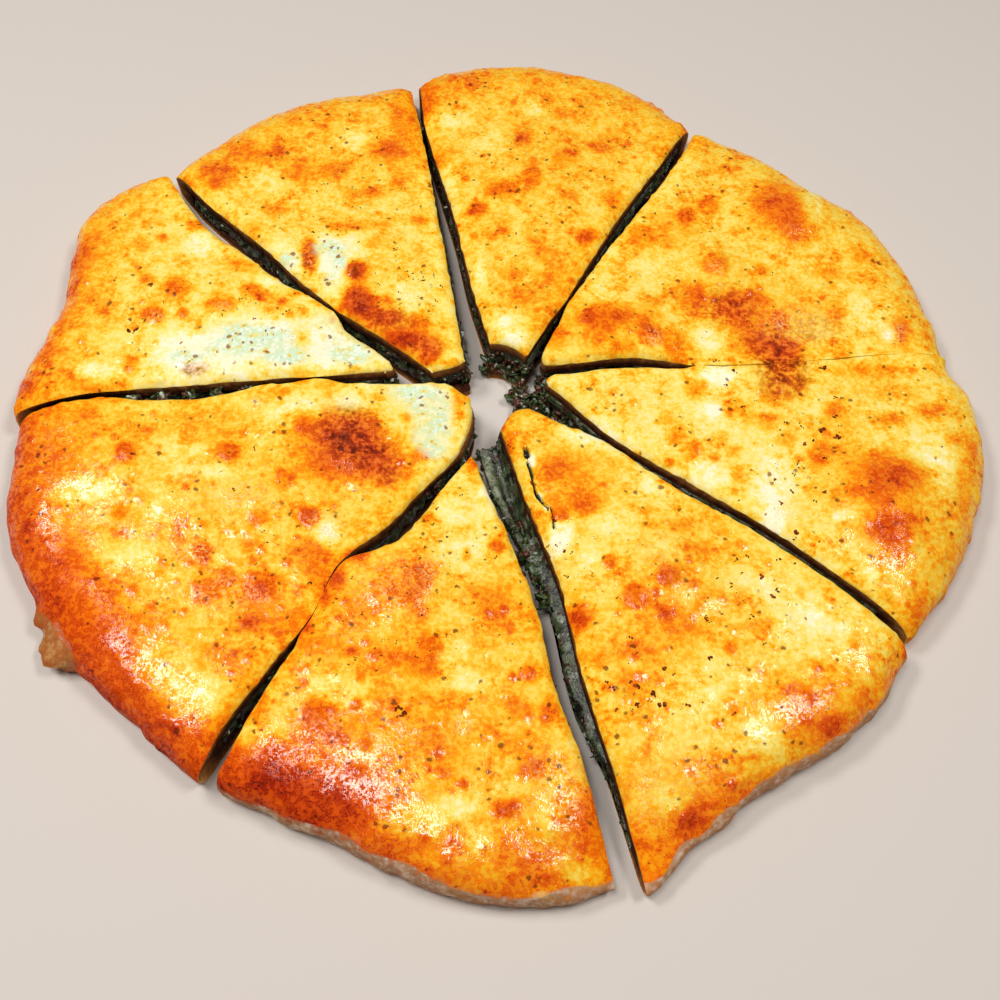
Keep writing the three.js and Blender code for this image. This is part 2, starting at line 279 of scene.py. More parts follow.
# Browned places, and paler ones below zero, some of them painted highlights, slice by slice from the far
# side: picture x, y, half width, half height, strength.
BROWNED_AND_GLINTS = (
    # First slice
    (560, 285, 24, 30, .12), (448, 190, 10, 30, -.1), (550, 130, 90, 55, .03), (425, 95, 14, 20, .22),
    (459, 82, 25, 9, .08), (537, 80, 40, 8, .02), (439, 158, 12, 9, .2), (523, 138, 9, 10, .2),
    (561, 113, 10, 7, .15), (598, 146, 10, 8, .2), (565, 158, 14, 10, .15), (533, 180, 9, 14, .25),
    (500, 191, 16, 8, .22), (478, 211, 10, 6, .28), (612, 199, 10, 9, .2), (567, 199, 12, 6, .15),
    (584, 240, 9, 7, .22), (506, 233, 6, 5, .15), (541, 254, 9, 9, .2), (516, 274, 12, 8, .2),
    (523, 299, 16, 12, .15), (451, 119, 20, 8, -.15), (535, 107, 10, 8, -.2), (488, 146, 20, 20, -.1),
    (504, 325, 14, 14, -.25), (516, 340, 12, 8, -.3), (480, 274, 8, 14, -.2), (588, 238, 12, 7, .2),
    # Second slice
    (678, 228, 26, 20, .16), (872, 315, 24, 18, -.16), (806, 207, 20, 20, -.15), (790, 216, 40, 24, .06),
    (760, 320, 60, 40, .12), (590, 330, 50, 25, .1), (775, 210, 30, 26, .3), (790, 216, 18, 14, .22),
    (800, 235, 20, 12, .2), (709, 205, 10, 9, .22), (686, 216, 9, 6, .3), (641, 238, 14, 10, .25),
    (715, 269, 13, 9, .35), (761, 271, 7, 6, .25), (693, 298, 16, 16, .28), (731, 304, 18, 12, .3),
    (756, 298, 12, 8, .3), (748, 323, 20, 14, .25), (780, 320, 9, 10, .3), (761, 345, 22, 12, .25),
    (789, 350, 14, 12, .3), (830, 274, 14, 7, .2), (860, 257, 9, 7, .25), (835, 312, 12, 8, .2),
    (890, 312, 20, 16, .05), (901, 328, 10, 12, .3), (889, 334, 6, 6, -.4), (602, 323, 25, 14, .28),
    (638, 320, 25, 10, .2), (649, 337, 12, 8, .35), (621, 350, 14, 6, .3), (676, 348, 14, 14, .25),
    (654, 304, 10, 6, .25), (553, 339, 14, 12, .2), (641, 268, 20, 10, -.04), (602, 295, 25, 10, -.08),
    (712, 339, 16, 12, -.25), (808, 208, 14, 25, -.1), (774, 349, 25, 12, .22),
    # Third slice
    (890, 556, 18, 16, .2), (837, 429, 26, 20, .16), (720, 420, 60, 30, -.06), (840, 475, 35, 35, .12),
    (885, 505, 42, 42, .12), (783, 378, 25, 25, .3), (886, 477, 40, 23, .32), (905, 485, 28, 16, .12),
    (874, 501, 18, 12, .2), (890, 527, 24, 20, .28), (874, 536, 10, 8, .2), (896, 545, 14, 12, .2),
    (874, 530, 22, 18, .2), (870, 572, 14, 9, -.2), (841, 519, 10, 5, -.3), (863, 371, 40, 8, .2),
    (885, 391, 35, 10, .15), (928, 411, 16, 9, .3), (890, 420, 16, 8, .25), (952, 438, 9, 6, .2),
    (836, 409, 10, 9, .25), (696, 389, 12, 9, .25), (667, 418, 9, 8, .2), (678, 436, 12, 10, .22),
    (696, 449, 9, 8, .22), (734, 452, 9, 7, .18), (723, 438, 9, 7, .15), (740, 411, 22, 9, .18),
    (767, 422, 12, 9, .25), (787, 440, 10, 8, .22), (747, 427, 8, 6, .12), (818, 456, 12, 14, .22),
    (738, 474, 9, 9, .18), (718, 378, 18, 10, -.3), (714, 411, 9, 7, -.35), (774, 483, 22, 25, -.3),
    (772, 521, 14, 14, -.35), (930, 452, 22, 18, -.2), (939, 474, 14, 20, -.2), (707, 474, 25, 14, -.2),
    (975, 447, 8, 12, .25), (966, 483, 10, 25, .15), (926, 603, 9, 14, .2),
    # Fourth slice
    (652, 493, 24, 16, -.16), (759, 583, 24, 16, -.15), (593, 662, 20, 16, -.12), (613, 524, 24, 16, -.17),
    (676, 797, 24, 14, -.16), (586, 430, 24, 14, -.18), (889, 636, 16, 26, -.14), (670, 625, 34, 40, .16),
    (786, 749, 24, 16, -.14), (592, 564, 20, 16, -.2), (750, 758, 34, 20, -.16), (600, 440, 30, 14, -.18),
    (643, 475, 24, 14, -.12), (820, 650, 60, 45, -.16), (720, 700, 60, 45, -.12), (640, 800, 60, 50, .03),
    (790, 700, 70, 50, .08), (531, 461, 4, 6, -.8), (539, 497, 3.5, 3.5, -.7), (547, 508, 3, 3, -.6),
    (525, 411, 20, 9, .1), (508, 442, 8, 10, .2), (567, 461, 25, 14, .14), (577, 487, 30, 22, .14),
    (554, 470, 18, 12, .15), (588, 507, 18, 10, .25), (562, 516, 7, 6, .35), (562, 531, 14, 14, -.35),
    (556, 548, 10, 12, -.3), (608, 563, 8, 7, .3), (634, 598, 14, 12, .3), (580, 617, 14, 12, .3),
    (593, 656, 30, 14, .18), (645, 510, 9, 6, .15), (702, 549, 18, 9, .2), (682, 526, 14, 9, .2),
    (667, 579, 10, 10, .4), (666, 615, 9, 5, .35), (730, 650, 7, 7, .35), (762, 627, 20, 9, .2),
    (801, 592, 6, 5, .15), (865, 688, 7, 7, .15), (856, 641, 7, 12, .15), (636, 650, 15, 10, .2),
    (638, 680, 22, 12, .18), (812, 675, 35, 25, .06), (806, 700, 20, 20, .05), (831, 726, 15, 10, .25),
    (757, 765, 25, 22, .04), (698, 811, 20, 12, .18), (693, 820, 16, 10, .2), (578, 622, 12, 12, .2),
    (659, 549, 12, 10, -.1), (688, 599, 12, 14, -.06), (757, 732, 25, 14, -.2), (790, 609, 40, 25, -.1),
    (847, 618, 40, 20, -.08), (698, 746, 20, 10, -.1),
    # Fifth slice
    (331, 649, 30, 16, .14), (297, 704, 20, 16, .14), (340, 756, 50, 18, -.14), (412, 818, 60, 18, -.2),
    (258, 734, 34, 13, -.22), (493, 786, 20, 14, -.14), (300, 622, 16, 16, .18), (363, 607, 22, 20, .16),
    (500, 757, 20, 14, -.12), (285, 705, 20, 20, -.14), (418, 777, 24, 16, -.2), (578, 865, 24, 16, -.14),
    (330, 698, 46, 22, -.12), (462, 535, 40, 45, -.2), (400, 745, 80, 55, .1), (300, 770, 60, 30, .1),
    (356, 556, 14, 8, .3), (340, 580, 8, 12, .35), (326, 600, 6, 10, .3), (308, 626, 5, 10, .25),
    (430, 520, 7, 6, .3), (467, 557, 5, 5, .2), (497, 546, 9, 7, .3), (458, 533, 14, 10, .15),
    (404, 589, 22, 22, .13), (428, 574, 12, 12, .25), (421, 615, 8, 10, .25), (339, 620, 5, 4, .3),
    (352, 653, 6, 5, .35), (491, 598, 20, 14, .2), (495, 617, 10, 6, .25), (510, 628, 5, 5, .25),
    (430, 650, 16, 10, .22), (387, 661, 22, 16, .15), (421, 668, 18, 12, .2), (452, 622, 20, 35, -.04),
    (489, 492, 12, 14, -.25), (465, 479, 10, 12, -.1), (305, 683, 5, 5, .3), (316, 715, 16, 14, .28),
    (336, 740, 12, 8, .2), (274, 774, 30, 20, .3), (302, 794, 40, 20, .3), (341, 805, 30, 18, .25),
    (358, 819, 25, 14, .2), (527, 673, 8, 8, .3), (518, 708, 14, 8, .2), (549, 712, 9, 14, .25),
    (517, 750, 18, 13, .12), (532, 768, 14, 12, .25), (507, 808, 14, 10, .3), (490, 763, 8, 6, .2),
    (442, 774, 8, 8, .15), (462, 784, 5, 5, .3), (456, 656, 14, 20, -.14), (473, 684, 25, 10, -.2),
    (459, 805, 22, 14, -.25), (479, 838, 14, 14, -.3), (543, 813, 8, 20, -.15), (588, 819, 14, 30, .15),
    (442, 858, 40, 10, -.1), (498, 869, 25, 10, -.06), (588, 872, 20, 12, -.1),
    # Sixth slice
    (179, 451, 30, 18, -.17), (384, 430, 16, 16, -.16), (90, 633, 24, 18, .08), (190, 696, 34, 32, -.3),
    (160, 668, 30, 24, -.24), (103, 625, 26, 26, .14), (223, 656, 22, 16, .14), (58, 512, 24, 24, -.16),
    (265, 612, 28, 20, .2), (300, 414, 26, 18, -.3), (367, 410, 20, 12, -.2), (60, 560, 30, 40, .06),
    (200, 440, 120, 25, .06), (150, 700, 60, 60, .12), (50, 560, 40, 90, .12), (471, 461, 5, 15, .2),
    (352, 440, 46, 34, .42), (388, 470, 24, 18, .3), (303, 428, 16, 12, .25), (330, 470, 30, 14, .2),
    (189, 401, 8, 6, .15), (87, 414, 12, 7, .2), (277, 394, 10, 6, .15), (303, 427, 8, 8, .2),
    (127, 455, 12, 10, .3), (103, 474, 7, 6, .15), (228, 455, 12, 9, .25), (191, 442, 12, 5, .15),
    (284, 481, 10, 10, .2), (310, 518, 10, 9, .35), (258, 519, 12, 7, .25), (180, 524, 8, 5, .12),
    (204, 527, 6, 4, .12), (119, 515, 9, 8, .2), (122, 536, 8, 8, .15), (152, 538, 8, 6, .12),
    (180, 540, 8, 5, .15), (249, 544, 10, 6, .15), (202, 551, 9, 7, .4), (160, 559, 6, 8, .12),
    (228, 577, 10, 10, .28), (260, 585, 20, 14, .28), (206, 590, 16, 14, .2), (249, 622, 14, 9, .25),
    (278, 632, 8, 6, .2), (234, 654, 5, 4, .2), (310, 553, 22, 14, .22), (321, 577, 14, 20, .22),
    (327, 533, 12, 14, -.35), (271, 436, 25, 20, -.12), (217, 473, 20, 8, -.15), (178, 473, 16, 8, -.15),
    (87, 490, 30, 14, -.2), (121, 555, 40, 16, -.12), (421, 457, 9, 9, .28), (406, 419, 6, 5, .3),
    (459, 400, 8, 20, .28), (345, 405, 15, 12, -.25),
    # Seventh slice
    (364, 386, 24, 8, -.14), (99, 243, 24, 20, .14), (278, 283, 20, 10, -.14), (98, 388, 30, 18, .14),
    (310, 330, 40, 30, -.1), (262, 300, 4, 4, .35), (270, 312, 4, 3, .3), (283, 304, 5, 4, .35),
    (290, 318, 5, 4, .35), (305, 314, 5, 5, .3), (331, 322, 4, 4, .35), (299, 294, 4, 3, .3),
    (277, 322, 4, 3, .3), (324, 338, 4, 4, .3), (200, 368, 70, 24, -.14), (305, 352, 50, 22, -.12),
    (77, 256, 16, 20, .2), (66, 299, 12, 20, .15), (43, 348, 14, 14, .2), (26, 382, 12, 10, .25),
    (143, 247, 9, 9, .2), (178, 290, 14, 9, .28), (149, 282, 8, 8, .2), (155, 316, 11, 8, .35),
    (184, 315, 6, 6, .35), (221, 310, 13, 8, .4), (253, 293, 10, 7, .25), (132, 365, 7, 10, .3),
    (103, 311, 8, 6, .2), (92, 299, 12, 8, .15), (198, 224, 12, 7, .2), (161, 239, 7, 5, .2),
    (244, 267, 16, 8, .2), (281, 308, 20, 20, .12), (304, 342, 9, 16, .3), (301, 377, 12, 8, .35),
    (201, 247, 14, 12, -.25), (95, 371, 20, 8, -.3), (184, 342, 25, 9, -.15),
    # Eighth slice
    (416, 304, 16, 14, -.16), (372, 322, 34, 20, .2), (418, 346, 26, 16, .2), (406, 138, 20, 40, .12),
    (400, 335, 34, 16, .22), (318, 304, 5, 4, .3), (340, 310, 4, 4, .3), (312, 292, 5, 3, .3),
    (330, 150, 100, 40, .05), (325, 262, 34, 24, -.16), (327, 308, 8, 8, .2), (388, 149, 18, 12, .28),
    (403, 118, 12, 16, .2), (219, 172, 20, 12, .3), (216, 185, 8, 6, .3), (247, 153, 18, 12, .2),
    (277, 151, 9, 9, .25), (301, 172, 14, 12, .22), (333, 170, 16, 10, .28), (368, 192, 16, 7, .22),
    (277, 209, 12, 7, .18), (253, 229, 10, 8, .22), (349, 196, 8, 8, .15), (355, 229, 25, 6, .25),
    (420, 222, 9, 6, .3), (375, 246, 12, 6, .2), (398, 181, 8, 8, .2), (310, 257, 10, 17, .9),
    (355, 275, 13, 11, .6), (358, 303, 15, 13, .7), (390, 298, 10, 10, .15), (420, 320, 12, 10, .25),
    (398, 339, 14, 10, .3), (431, 346, 12, 10, .25), (377, 318, 25, 8, .35), (405, 339, 20, 6, .4),
    (427, 359, 10, 6, .4), (398, 294, 16, 10, -.2), (264, 181, 16, 9, -.1), (351, 140, 14, 14, -.15),
)
BROWNED_STRENGTH = 1.25
# How much the rim is browned, all round from the bread's right side, counter-clockwise, how far in that
# reaches, how it fades, and between which heights it deepens towards the underside.
RIM_BROWNING = (
    .14, .1, .12, .12, .14, .12, .12, .18, .2, .16, .18, .24, .32, .44, .52, .56, .56, .5, .32, .28, .32,
    .22, .26, .24,
)
RIM_BROWNING_REACH, RIM_BROWNING_FADE = 1.6 * RIM_WIDTH, 1.2
UNDERSIDE_HEIGHTS, UNDERSIDE_BROWNING = (11, 4), 0.6
# Dark, scorched places. These and the next places are given like the browned ones.
SCORCHED = (
    (348, 438, 36, 26, .5), (372, 462, 28, 18, .4), (352, 414, 24, 12, .12), (350, 436, 16, 16, .3),
    (390, 478, 14, 10, .3), (731, 306, 30, 20, .4), (770, 345, 30, 20, .4), (784, 374, 28, 24, .55),
    (816, 328, 30, 18, .25), (358, 303, 12, 12, .5), (310, 259, 9, 15, .6), (195, 371, 16, 8, .5),
    (404, 585, 24, 18, .15), (355, 276, 10, 8, .4), (520, 345, 14, 10, .15), (388, 320, 30, 13, .4),
    (424, 347, 22, 11, .4),
)
# Pale places where the herbs of the filling show green through a thin crust, and the paler dough around.
THIN_CRUST = (
    (430, 405, 24, 20, .8), (434, 440, 22, 20, .8), (408, 392, 24, 10, .6), (345, 405, 15, 10, .3),
    (238, 344, 36, 20, .9), (345, 345, 28, 16, .55), (325, 322, 18, 14, .35), (276, 339, 20, 10, .7),
    (184, 359, 20, 9, .7), (353, 356, 25, 9, .6), (287, 359, 22, 12, .7), (290, 261, 14, 9, .7),
    (329, 253, 20, 12, .75), (340, 270, 8, 12, .6), (330, 285, 10, 10, .4), (265, 245, 14, 10, .2),
    (458, 893, 16, 8, .6), (546, 894, 16, 8, .5),
)
AROUND_THIN, PALER_AROUND_THIN = 1.8, 0.22
# Blisters: picture x, y, half width in pixels, and rise in millimetres.
BLISTERS = (
    (127, 455, 10, .9), (103, 474, 6, .5), (228, 455, 11, .5), (303, 427, 8, .5), (284, 481, 9, .4),
    (310, 518, 10, .8), (258, 519, 10, .4), (202, 553, 10, .7), (228, 577, 9, .6), (260, 586, 16, .6),
    (206, 590, 14, .5), (421, 457, 9, .5), (406, 419, 6, .4), (119, 515, 8, .3), (430, 520, 8, .5),
    (497, 546, 8, .5), (467, 557, 5, .3), (404, 585, 22, .8), (430, 650, 14, .5), (316, 715, 14, .6),
    (527, 673, 7, .5), (507, 808, 10, .5), (462, 784, 5, .4), (442, 774, 6, .3), (562, 515, 8, .8),
    (608, 563, 8, .6), (667, 579, 11, 1.0), (634, 598, 13, .7), (666, 615, 8, .5), (730, 650, 8, .4),
    (585, 505, 10, .4), (531, 461, 4.5, .8), (539, 497, 3.5, .6), (547.5, 507, 3, .5), (696, 389, 11, .6),
    (667, 418, 8, .4), (678, 436, 9, .4), (696, 449, 8, .4), (740, 411, 12, .4), (715, 269, 13, 1.0),
    (709, 205, 10, .8), (686, 216, 8, .6), (641, 238, 12, .6), (761, 271, 7, .5), (649, 337, 12, .9),
    (672, 343, 9, .7), (610, 350, 9, .6), (602, 323, 18, .7), (731, 304, 14, .5), (780, 320, 8, .5),
    (155, 316, 11, .9), (184, 315, 6, .6), (221, 310, 13, 1.0), (178, 290, 11, .5), (132, 365, 7, .5),
    (86, 374, 7, .5), (253, 293, 9, .5), (310, 257, 8, .8), (355, 274, 9, .8), (357, 302, 13, .9),
    (420, 320, 9, .4), (533, 180, 9, .6), (500, 191, 12, .4), (478, 211, 9, .5), (584, 240, 8, .4),
    (860, 257, 8, .4), (835, 312, 9, .4), (823, 540, 6, .2),
)
# How far a blister spreads, how ragged its foot is, how its crown browns and the painted shade round its
# foot.
BLISTER_SPREAD = 1.6
BLISTER_RAGGED = 0.3, 3, 15
CROWN_BROWNING = 0.05
FOOT_SHADE, FOOT_PLACE, FOOT_WIDTH = 0.13, 0.85, 0.25
# Places where the butter's highlights are painted on the crust as fine pale flecks.
PAINTED_GLINTS = (
    (238, 497, 36, 13, .9), (188, 476, 14, 9, .6), (190, 552, 26, 8, .8), (100, 472, 20, 11, .7),
    (228, 592, 22, 18, .5), (328, 527, 18, 16, .8), (388, 582, 38, 28, .45), (433, 570, 12, 18, .6),
    (655, 554, 22, 20, .5), (738, 582, 14, 11, .6), (682, 594, 14, 14, .4), (780, 716, 14, 16, .4),
    (650, 790, 20, 32, .45), (690, 765, 18, 28, .45), (841, 514, 11, 9, .7), (868, 549, 10, 8, .5),
    (790, 518, 18, 18, .7), (560, 780, 28, 36, .6), (893, 333, 12, 10, .9), (714, 274, 9, 7, .6),
    (652, 340, 9, 8, .6), (800, 325, 34, 18, .7), (157, 320, 9, 5, .7), (225, 312, 9, 5, .7),
    (334, 407, 16, 9, .8), (344, 444, 8, 10, .5), (560, 560, 20, 20, .6),
)
# The colour of the painted highlight flecks.
PAINTED_GLINT_COLOUR = 255, 212, 120
# Places where the butter has soaked in and left the crust dull, as it has on the blisters.
DULL = (
    (265, 778, 50, 26, .9), (310, 815, 60, 20, .8), (60, 590, 34, 60, .8), (98, 618, 36, 28, .8),
    (95, 535, 44, 40, .6), (120, 690, 40, 30, .5), (812, 680, 40, 30, .6), (888, 530, 26, 22, .8),
    (404, 585, 30, 24, .5), (400, 690, 80, 40, .6),
)
BLISTER_DULL, BLISTER_DULL_SPREAD = 0.8, 1.3
# The butter begins at some way in from a cut and up from the lip: where it starts and where it is full.
BUTTER_FROM_CUT, BUTTER_HEIGHTS = (3.5, 7.5), (6, 11)
# A tear in the crust, stroke by stroke: two picture places and half the width there.
TEAR = (
    (526, 450, 527.5, 455, 2.8), (527, 462, 528.5, 468, 1.0), (529, 467, 532, 475, 1.3),
    (531.5, 475, 533, 484, 1.1), (533.5, 486, 536, 494, 1.5), (538, 497, 547, 507, 1.7),
    (551, 508, 553, 516, 1.3), (553, 517, 554, 527, 1.2),
)
TEAR_DEPTH, TEAR_STEEPNESS, TEAR_DARKNESS = 2.6, 1.6, 2
TEAR_RAGGED = (0.5, 5, 3), (0.5, 2.5, 4)
TEAR_NARROWEST = 0.4

# How far each slice's top is baked, from the far side, and the most that any place reaches.
SLICE_BAKE = (0.45, 0.4, 0.35, 0.445, 0.49, 0.46, 0.39, 0.4)
DEEPEST_BAKE = 0.9
# Where a slice nearly touches the next one along its right cut: slice, how far out from and to, and the
# seam that is left, below zero where the edges press together. They are drawn to each other over a few
# millimetres.
TOUCHING = (
    (2, 58, 160, -0.5), (5, 66, 99, 0.35), (5, 24, 72, 4.2),
    (6, 104, 150, 1.3), (6, 42, 58, 0.4), (7, 48, 60, 0.4),
)
TOUCHING_EASE, TOUCHING_DEPTH, TOUCHING_STEPS = 6, 4, 600
# How far the flour of the underside reaches in over the rim: bearings and millimetres.
FLOURY = (
    (0, .1), (190, .1), (236, .3), (246, .8), (258, 2.0), (280, 2.2), (292, 2.2), (312, 1.9), (320, .9),
    (327, .3), (345, .2), (360, .1),
)
FLOUR_RAGGED, FLOUR_EDGE = (0.5, 5, 12), 0.8
# Where the lump on the rim is crusty: its reach there and the height that it stays below, and how far it
# is browned, scorched and bare crumb there.
CRUSTY_REACH, CRUSTY_BELOW = (1, 3), 9
LUMP_BROWNING, LUMP_SCORCH, LUMP_CRUMB = 0.3, 0.5, 0.8
# How far the lump has lost its flour, and from what reach, and how far at most, flour lies on it.
FLOUR_LOST, LUMP_FLOUR_FROM, LUMP_FLOUR_MOST = 0.62, 1.5, 2.5
# Between which heights the lump comes to stand out in full, and how ragged it is.
LUMP_HEIGHTS = 9.5, 5
LUMP_RAGGED = (0.35, 3.2, 8), (0.2, 1.5, 9)
# The skin's ups and downs, from wide to fine: height, width and layer.
SKIN_WAVES = (0.5, 15, 0), (0.3, 6, 1), (0.08, 2.4, 2)
RIM_BUMP, RIM_KNOB, RIM_BUMPS_REACH = (0.8, 8, 21), (0.4, 3, 22), 5
# How far the knife has worn the edge of a cut, and the pores of its face.
EDGE_WEAR, EDGE_WEAR_REACH = 0.5, 1.6
EDGE_RAGGED = (0.6, 2.4, 5), (0.6, 6, 6)
CUT_PORES, PORE_DEPTH = (0.3, 1.3, 7), 0.2
# The rows and columns of a slice's skin, of its lining, and the depths of a cut's rows from one to the other.
TOP_ROWS, RIM_ROWS, LIP_ROWS, BASE_ROWS = 160, 36, 10, 14
UPPER_ROWS = TOP_ROWS + RIM_ROWS
COLUMNS, COLUMN_CROWDING = 140, 0.25
LINING_COLUMNS, LINING_CROWDING = 24, 0.9
CUT_ROWS = (0.06, 0.35, 0.7)
# How fast pores and the painted shade of a cut face set in from the skin.
PORES_SET_IN, CUT_SHADE_SETS_IN = 4, 1.6
# How much of its relief the skin shows, row by row: all on top, less round the lip and none below.
RELIEF_LEFT = np.concatenate((np.ones(UPPER_ROWS), np.linspace(1, 0.4, LIP_ROWS), np.zeros(BASE_ROWS)))
# Small blisters: their spacing, the least half size and what chance adds, how they rise and how they brown.
SMALL_BLISTER_SPACING = 6
SMALLEST_BLISTER, BLISTER_GROWTH, BLISTER_RISE = 0.6, 1.6, 0.2
BLISTER_TONE, PALE_BLISTER = 0.36, 0.06


def torn_open(picture):
    """How far the crust is torn open, from 1 on the tear's line to 0 at its ragged edge."""
    ragged = np.maximum(TEAR_NARROWEST, 1 + waves(at_height(picture, 0), *TEAR_RAGGED))
    torn = np.zeros(picture.shape[:-1])
    for *ends, half in TEAR:
        a, b = np.array(ends[:2]), np.array(ends[2:])
        along = np.clip(((picture - a) @ (b - a)) / ((b - a) @ (b - a)), 0, 1)
        away = np.linalg.norm(picture - a - along[..., None] * (b - a), axis=-1)
        torn = np.maximum(torn, 1 - (away / (half * ragged)) ** 2)
    return torn


def small_blisters(plan):
    """Small blisters all over the crust: how far they rise, in millimetres, and how far they are browned."""
    rise, browned = np.zeros(plan.shape[:-1]), np.zeros(plan.shape[:-1])
    cell = np.floor(plan / SMALL_BLISTER_SPACING).astype(int)
    for step in np.ndindex(3, 3):
        near = cell + np.array(step) - 1
        row, column = np.moveaxis(near % len(CHANCE), -1, 0)
        x, y, size, tone = np.moveaxis(CHANCE[row, column, :4], -1, 0)
        middle = (near + np.stack((x, y), -1)) * SMALL_BLISTER_SPACING
        size = SMALLEST_BLISTER + BLISTER_GROWTH * size**2
        dome = np.maximum(0, 1 - ((plan - middle) ** 2).sum(-1) / size**2)
        rise += BLISTER_RISE * size * dome**2
        browned += (BLISTER_TONE * tone - PALE_BLISTER) * dome
    return rise, browned


def blister_browning_and_shade(plan, picture):
    """How far the crust is darkened on each blister: browned on its crown, most round its ragged foot as
    painted shade.
    """
    ragged = 1 + waves(at_height(plan, 0), BLISTER_RAGGED)
    browned = np.zeros(picture.shape[:-1])
    for x, y, half, lift in BLISTERS:
        off = ragged * np.hypot(picture[..., 0] - x, picture[..., 1] - y) / half
        # The dark ring round a blister's foot is painted shade.
        foot = FOOT_SHADE * np.exp(-(((off - FOOT_PLACE) / FOOT_WIDTH) ** 2))
        browned += lift * (CROWN_BROWNING * np.exp(-(off**4)) + foot)
    return browned


def relief(plan, picture):
    """Fine ups and downs of the crust's top, in millimetres."""
    rise = waves(at_height(plan, 0), *SKIN_WAVES)
    for x, y, half, lift in BLISTERS:
        off = ((picture[..., 0] - x) ** 2 + (picture[..., 1] - y) ** 2) / half**2
        rise += lift * np.maximum(0, 1 - off / BLISTER_SPREAD) ** 2
    return rise - TEAR_DEPTH * np.clip(TEAR_STEEPNESS * torn_open(picture), 0, 1)


def column_places(count, crowding):
    """Even steps from 0 to 1, crowded towards both ends."""
    t = np.linspace(0, 1, count)
    return t - crowding * np.sin(2 * math.pi * t) / (2 * math.pi)


def grid_normals(points):
    along_u, along_s = np.gradient(points, axis=0), np.gradient(points, axis=1)
    return unit(np.cross(along_s, along_u) + 1e-12)


def sheet(grid):
    """Four-sided faces over a grid of vertex numbers."""
    return np.stack((grid[:-1, :-1], grid[1:, :-1], grid[1:, 1:], grid[:-1, 1:]), -1).reshape(-1, 4)


def stitch(first, second, points):
    """Triangles that join two rows of vertices with different counts."""
    def shares(row):
        steps = np.linalg.norm(np.diff(points[row], axis=0), axis=-1)
        reached = np.concatenate(((0,), np.cumsum(steps)))
        return reached / reached[-1]

    first_at, second_at = shares(first), shares(second)
    i, j, faces = 0, 0, []
    while i + 1 < len(first) or j + 1 < len(second):
        if j + 1 == len(second) or (i + 1 < len(first) and first_at[i + 1] <= second_at[j + 1]):
            faces.append((first[i], first[i + 1], second[j]))
            i += 1
        else:
            faces.append((first[i], second[j + 1], second[j]))
            j += 1
    return np.array(faces)


def rim_lump(plan, lumps=RIM_LUMPS):
    """How far the rim stands out at a point's bearing."""
    bearing = np.degrees(np.arctan2(plan[..., 1], plan[..., 0])) % 360
    return sum(reach * np.exp(-(((bearing - middle) / spread) ** 2)) for middle, spread, reach in lumps)


def crust_sections(shape, columns):
    """Outside and inside of a slice's crust, column by column, over the top, round the rim and back below."""
    column = Column(Plan(shape), columns[:, None])
    length = column.length
    over = length + (RIM_WIDTH - length) * np.linspace(0, 1, TOP_ROWS)
    turn = np.linspace(math.pi / 2, 0, RIM_ROWS + 1)[1:]
    round_rim = np.broadcast_to(RIM_WIDTH * (1 - np.cos(turn)), (len(columns), RIM_ROWS))
    top = np.concatenate((over, round_rim), 1)
    tuck = np.linspace(0, math.pi / 2, LIP_ROWS + 1)[1:]
    below = np.broadcast_to(LIP_TUCK * (1 - np.cos(tuck)), (len(columns), LIP_ROWS))
    back = np.linspace(0, 1, BASE_ROWS + 1)[1:]
    lower_tip = length + shape["under"]
    under = LIP_TUCK + (lower_tip - LIP_TUCK) * back

    lump = rim_lump(column.place(np.zeros_like(length)))
    outside = np.concatenate((
        column.top(top),
        column.flat(below, LIP_HEIGHT * (1 - np.sin(tuck)), lump * np.cos(tuck)),
        column.flat(under, 0.0),
    ), 1)
    behind = np.where(top > RIM_WIDTH, top, RIM_SEAM + (RIM_WIDTH - RIM_SEAM) * top / RIM_WIDTH)
    seam_top = column.top(np.full_like(length, RIM_SEAM), CRUST_THICKNESS)[..., 2]
    down = seam_top + (CRUST_THICKNESS - seam_top) * tuck / (math.pi / 2)
    inside = np.concatenate((
        column.top(behind, CRUST_THICKNESS),
        column.flat(np.full_like(down, RIM_SEAM), down),
        column.flat(RIM_SEAM + (lower_tip - RIM_SEAM) * back, float(CRUST_THICKNESS)),
    ), 1)
    from_rim = np.concatenate((top, 0 * below, under), 1)
    return outside, inside, column.from_cut(from_rim), from_rim


def srgb(*colour):
    """A colour given from 0 to 255, as the shader's own numbers."""
    share = np.array(colour) / 255
    return tuple(np.where(share <= 0.04045, share / 12.92, ((share + 0.055) / 1.055) ** 2.4)) + (1.0,)


def make_mesh(name, points, faces, values, material):
    """A closed piece in metres from points in millimetres, with named values on its vertices."""
    mesh = bpy.data.meshes.new(name)
    corners = np.concatenate([f.ravel() for f in faces])
    counts = np.concatenate([np.full(len(f), f.shape[1]) for f in faces])
    starts = np.concatenate(((0,), np.cumsum(counts)[:-1]))
    mesh.vertices.add(len(points))
    mesh.vertices.foreach_set("co", (points * MM).astype(np.float32).ravel())
    mesh.loops.add(len(corners))
    mesh.loops.foreach_set("vertex_index", corners.astype(np.int32))
    mesh.polygons.add(len(counts))
    mesh.polygons.foreach_set("loop_start", starts.astype(np.int32))
    mesh.polygons.foreach_set("use_smooth", np.ones(len(counts), bool))
    for key, value in values.items():
        mesh.attributes.new(key, "FLOAT", "POINT").data.foreach_set("value", value.astype(np.float32).ravel())
    mesh.update(calc_edges=True)
    mesh.validate()
    mesh.materials.append(material)
    piece = bpy.data.objects.new(name, mesh)
    bpy.context.scene.collection.objects.link(piece)
    return piece


def facing_out(points, faces):
    """The same faces, turned over if they enclose a negative volume."""
    volume = 0
    for f in faces:
        for k in range(1, f.shape[1] - 1):
            a, b, c = points[f[:, 0]], points[f[:, k]], points[f[:, k + 1]]
            volume += (a * np.cross(b, c)).sum()
    return faces if volume > 0 else [f[:, ::-1] for f in faces]


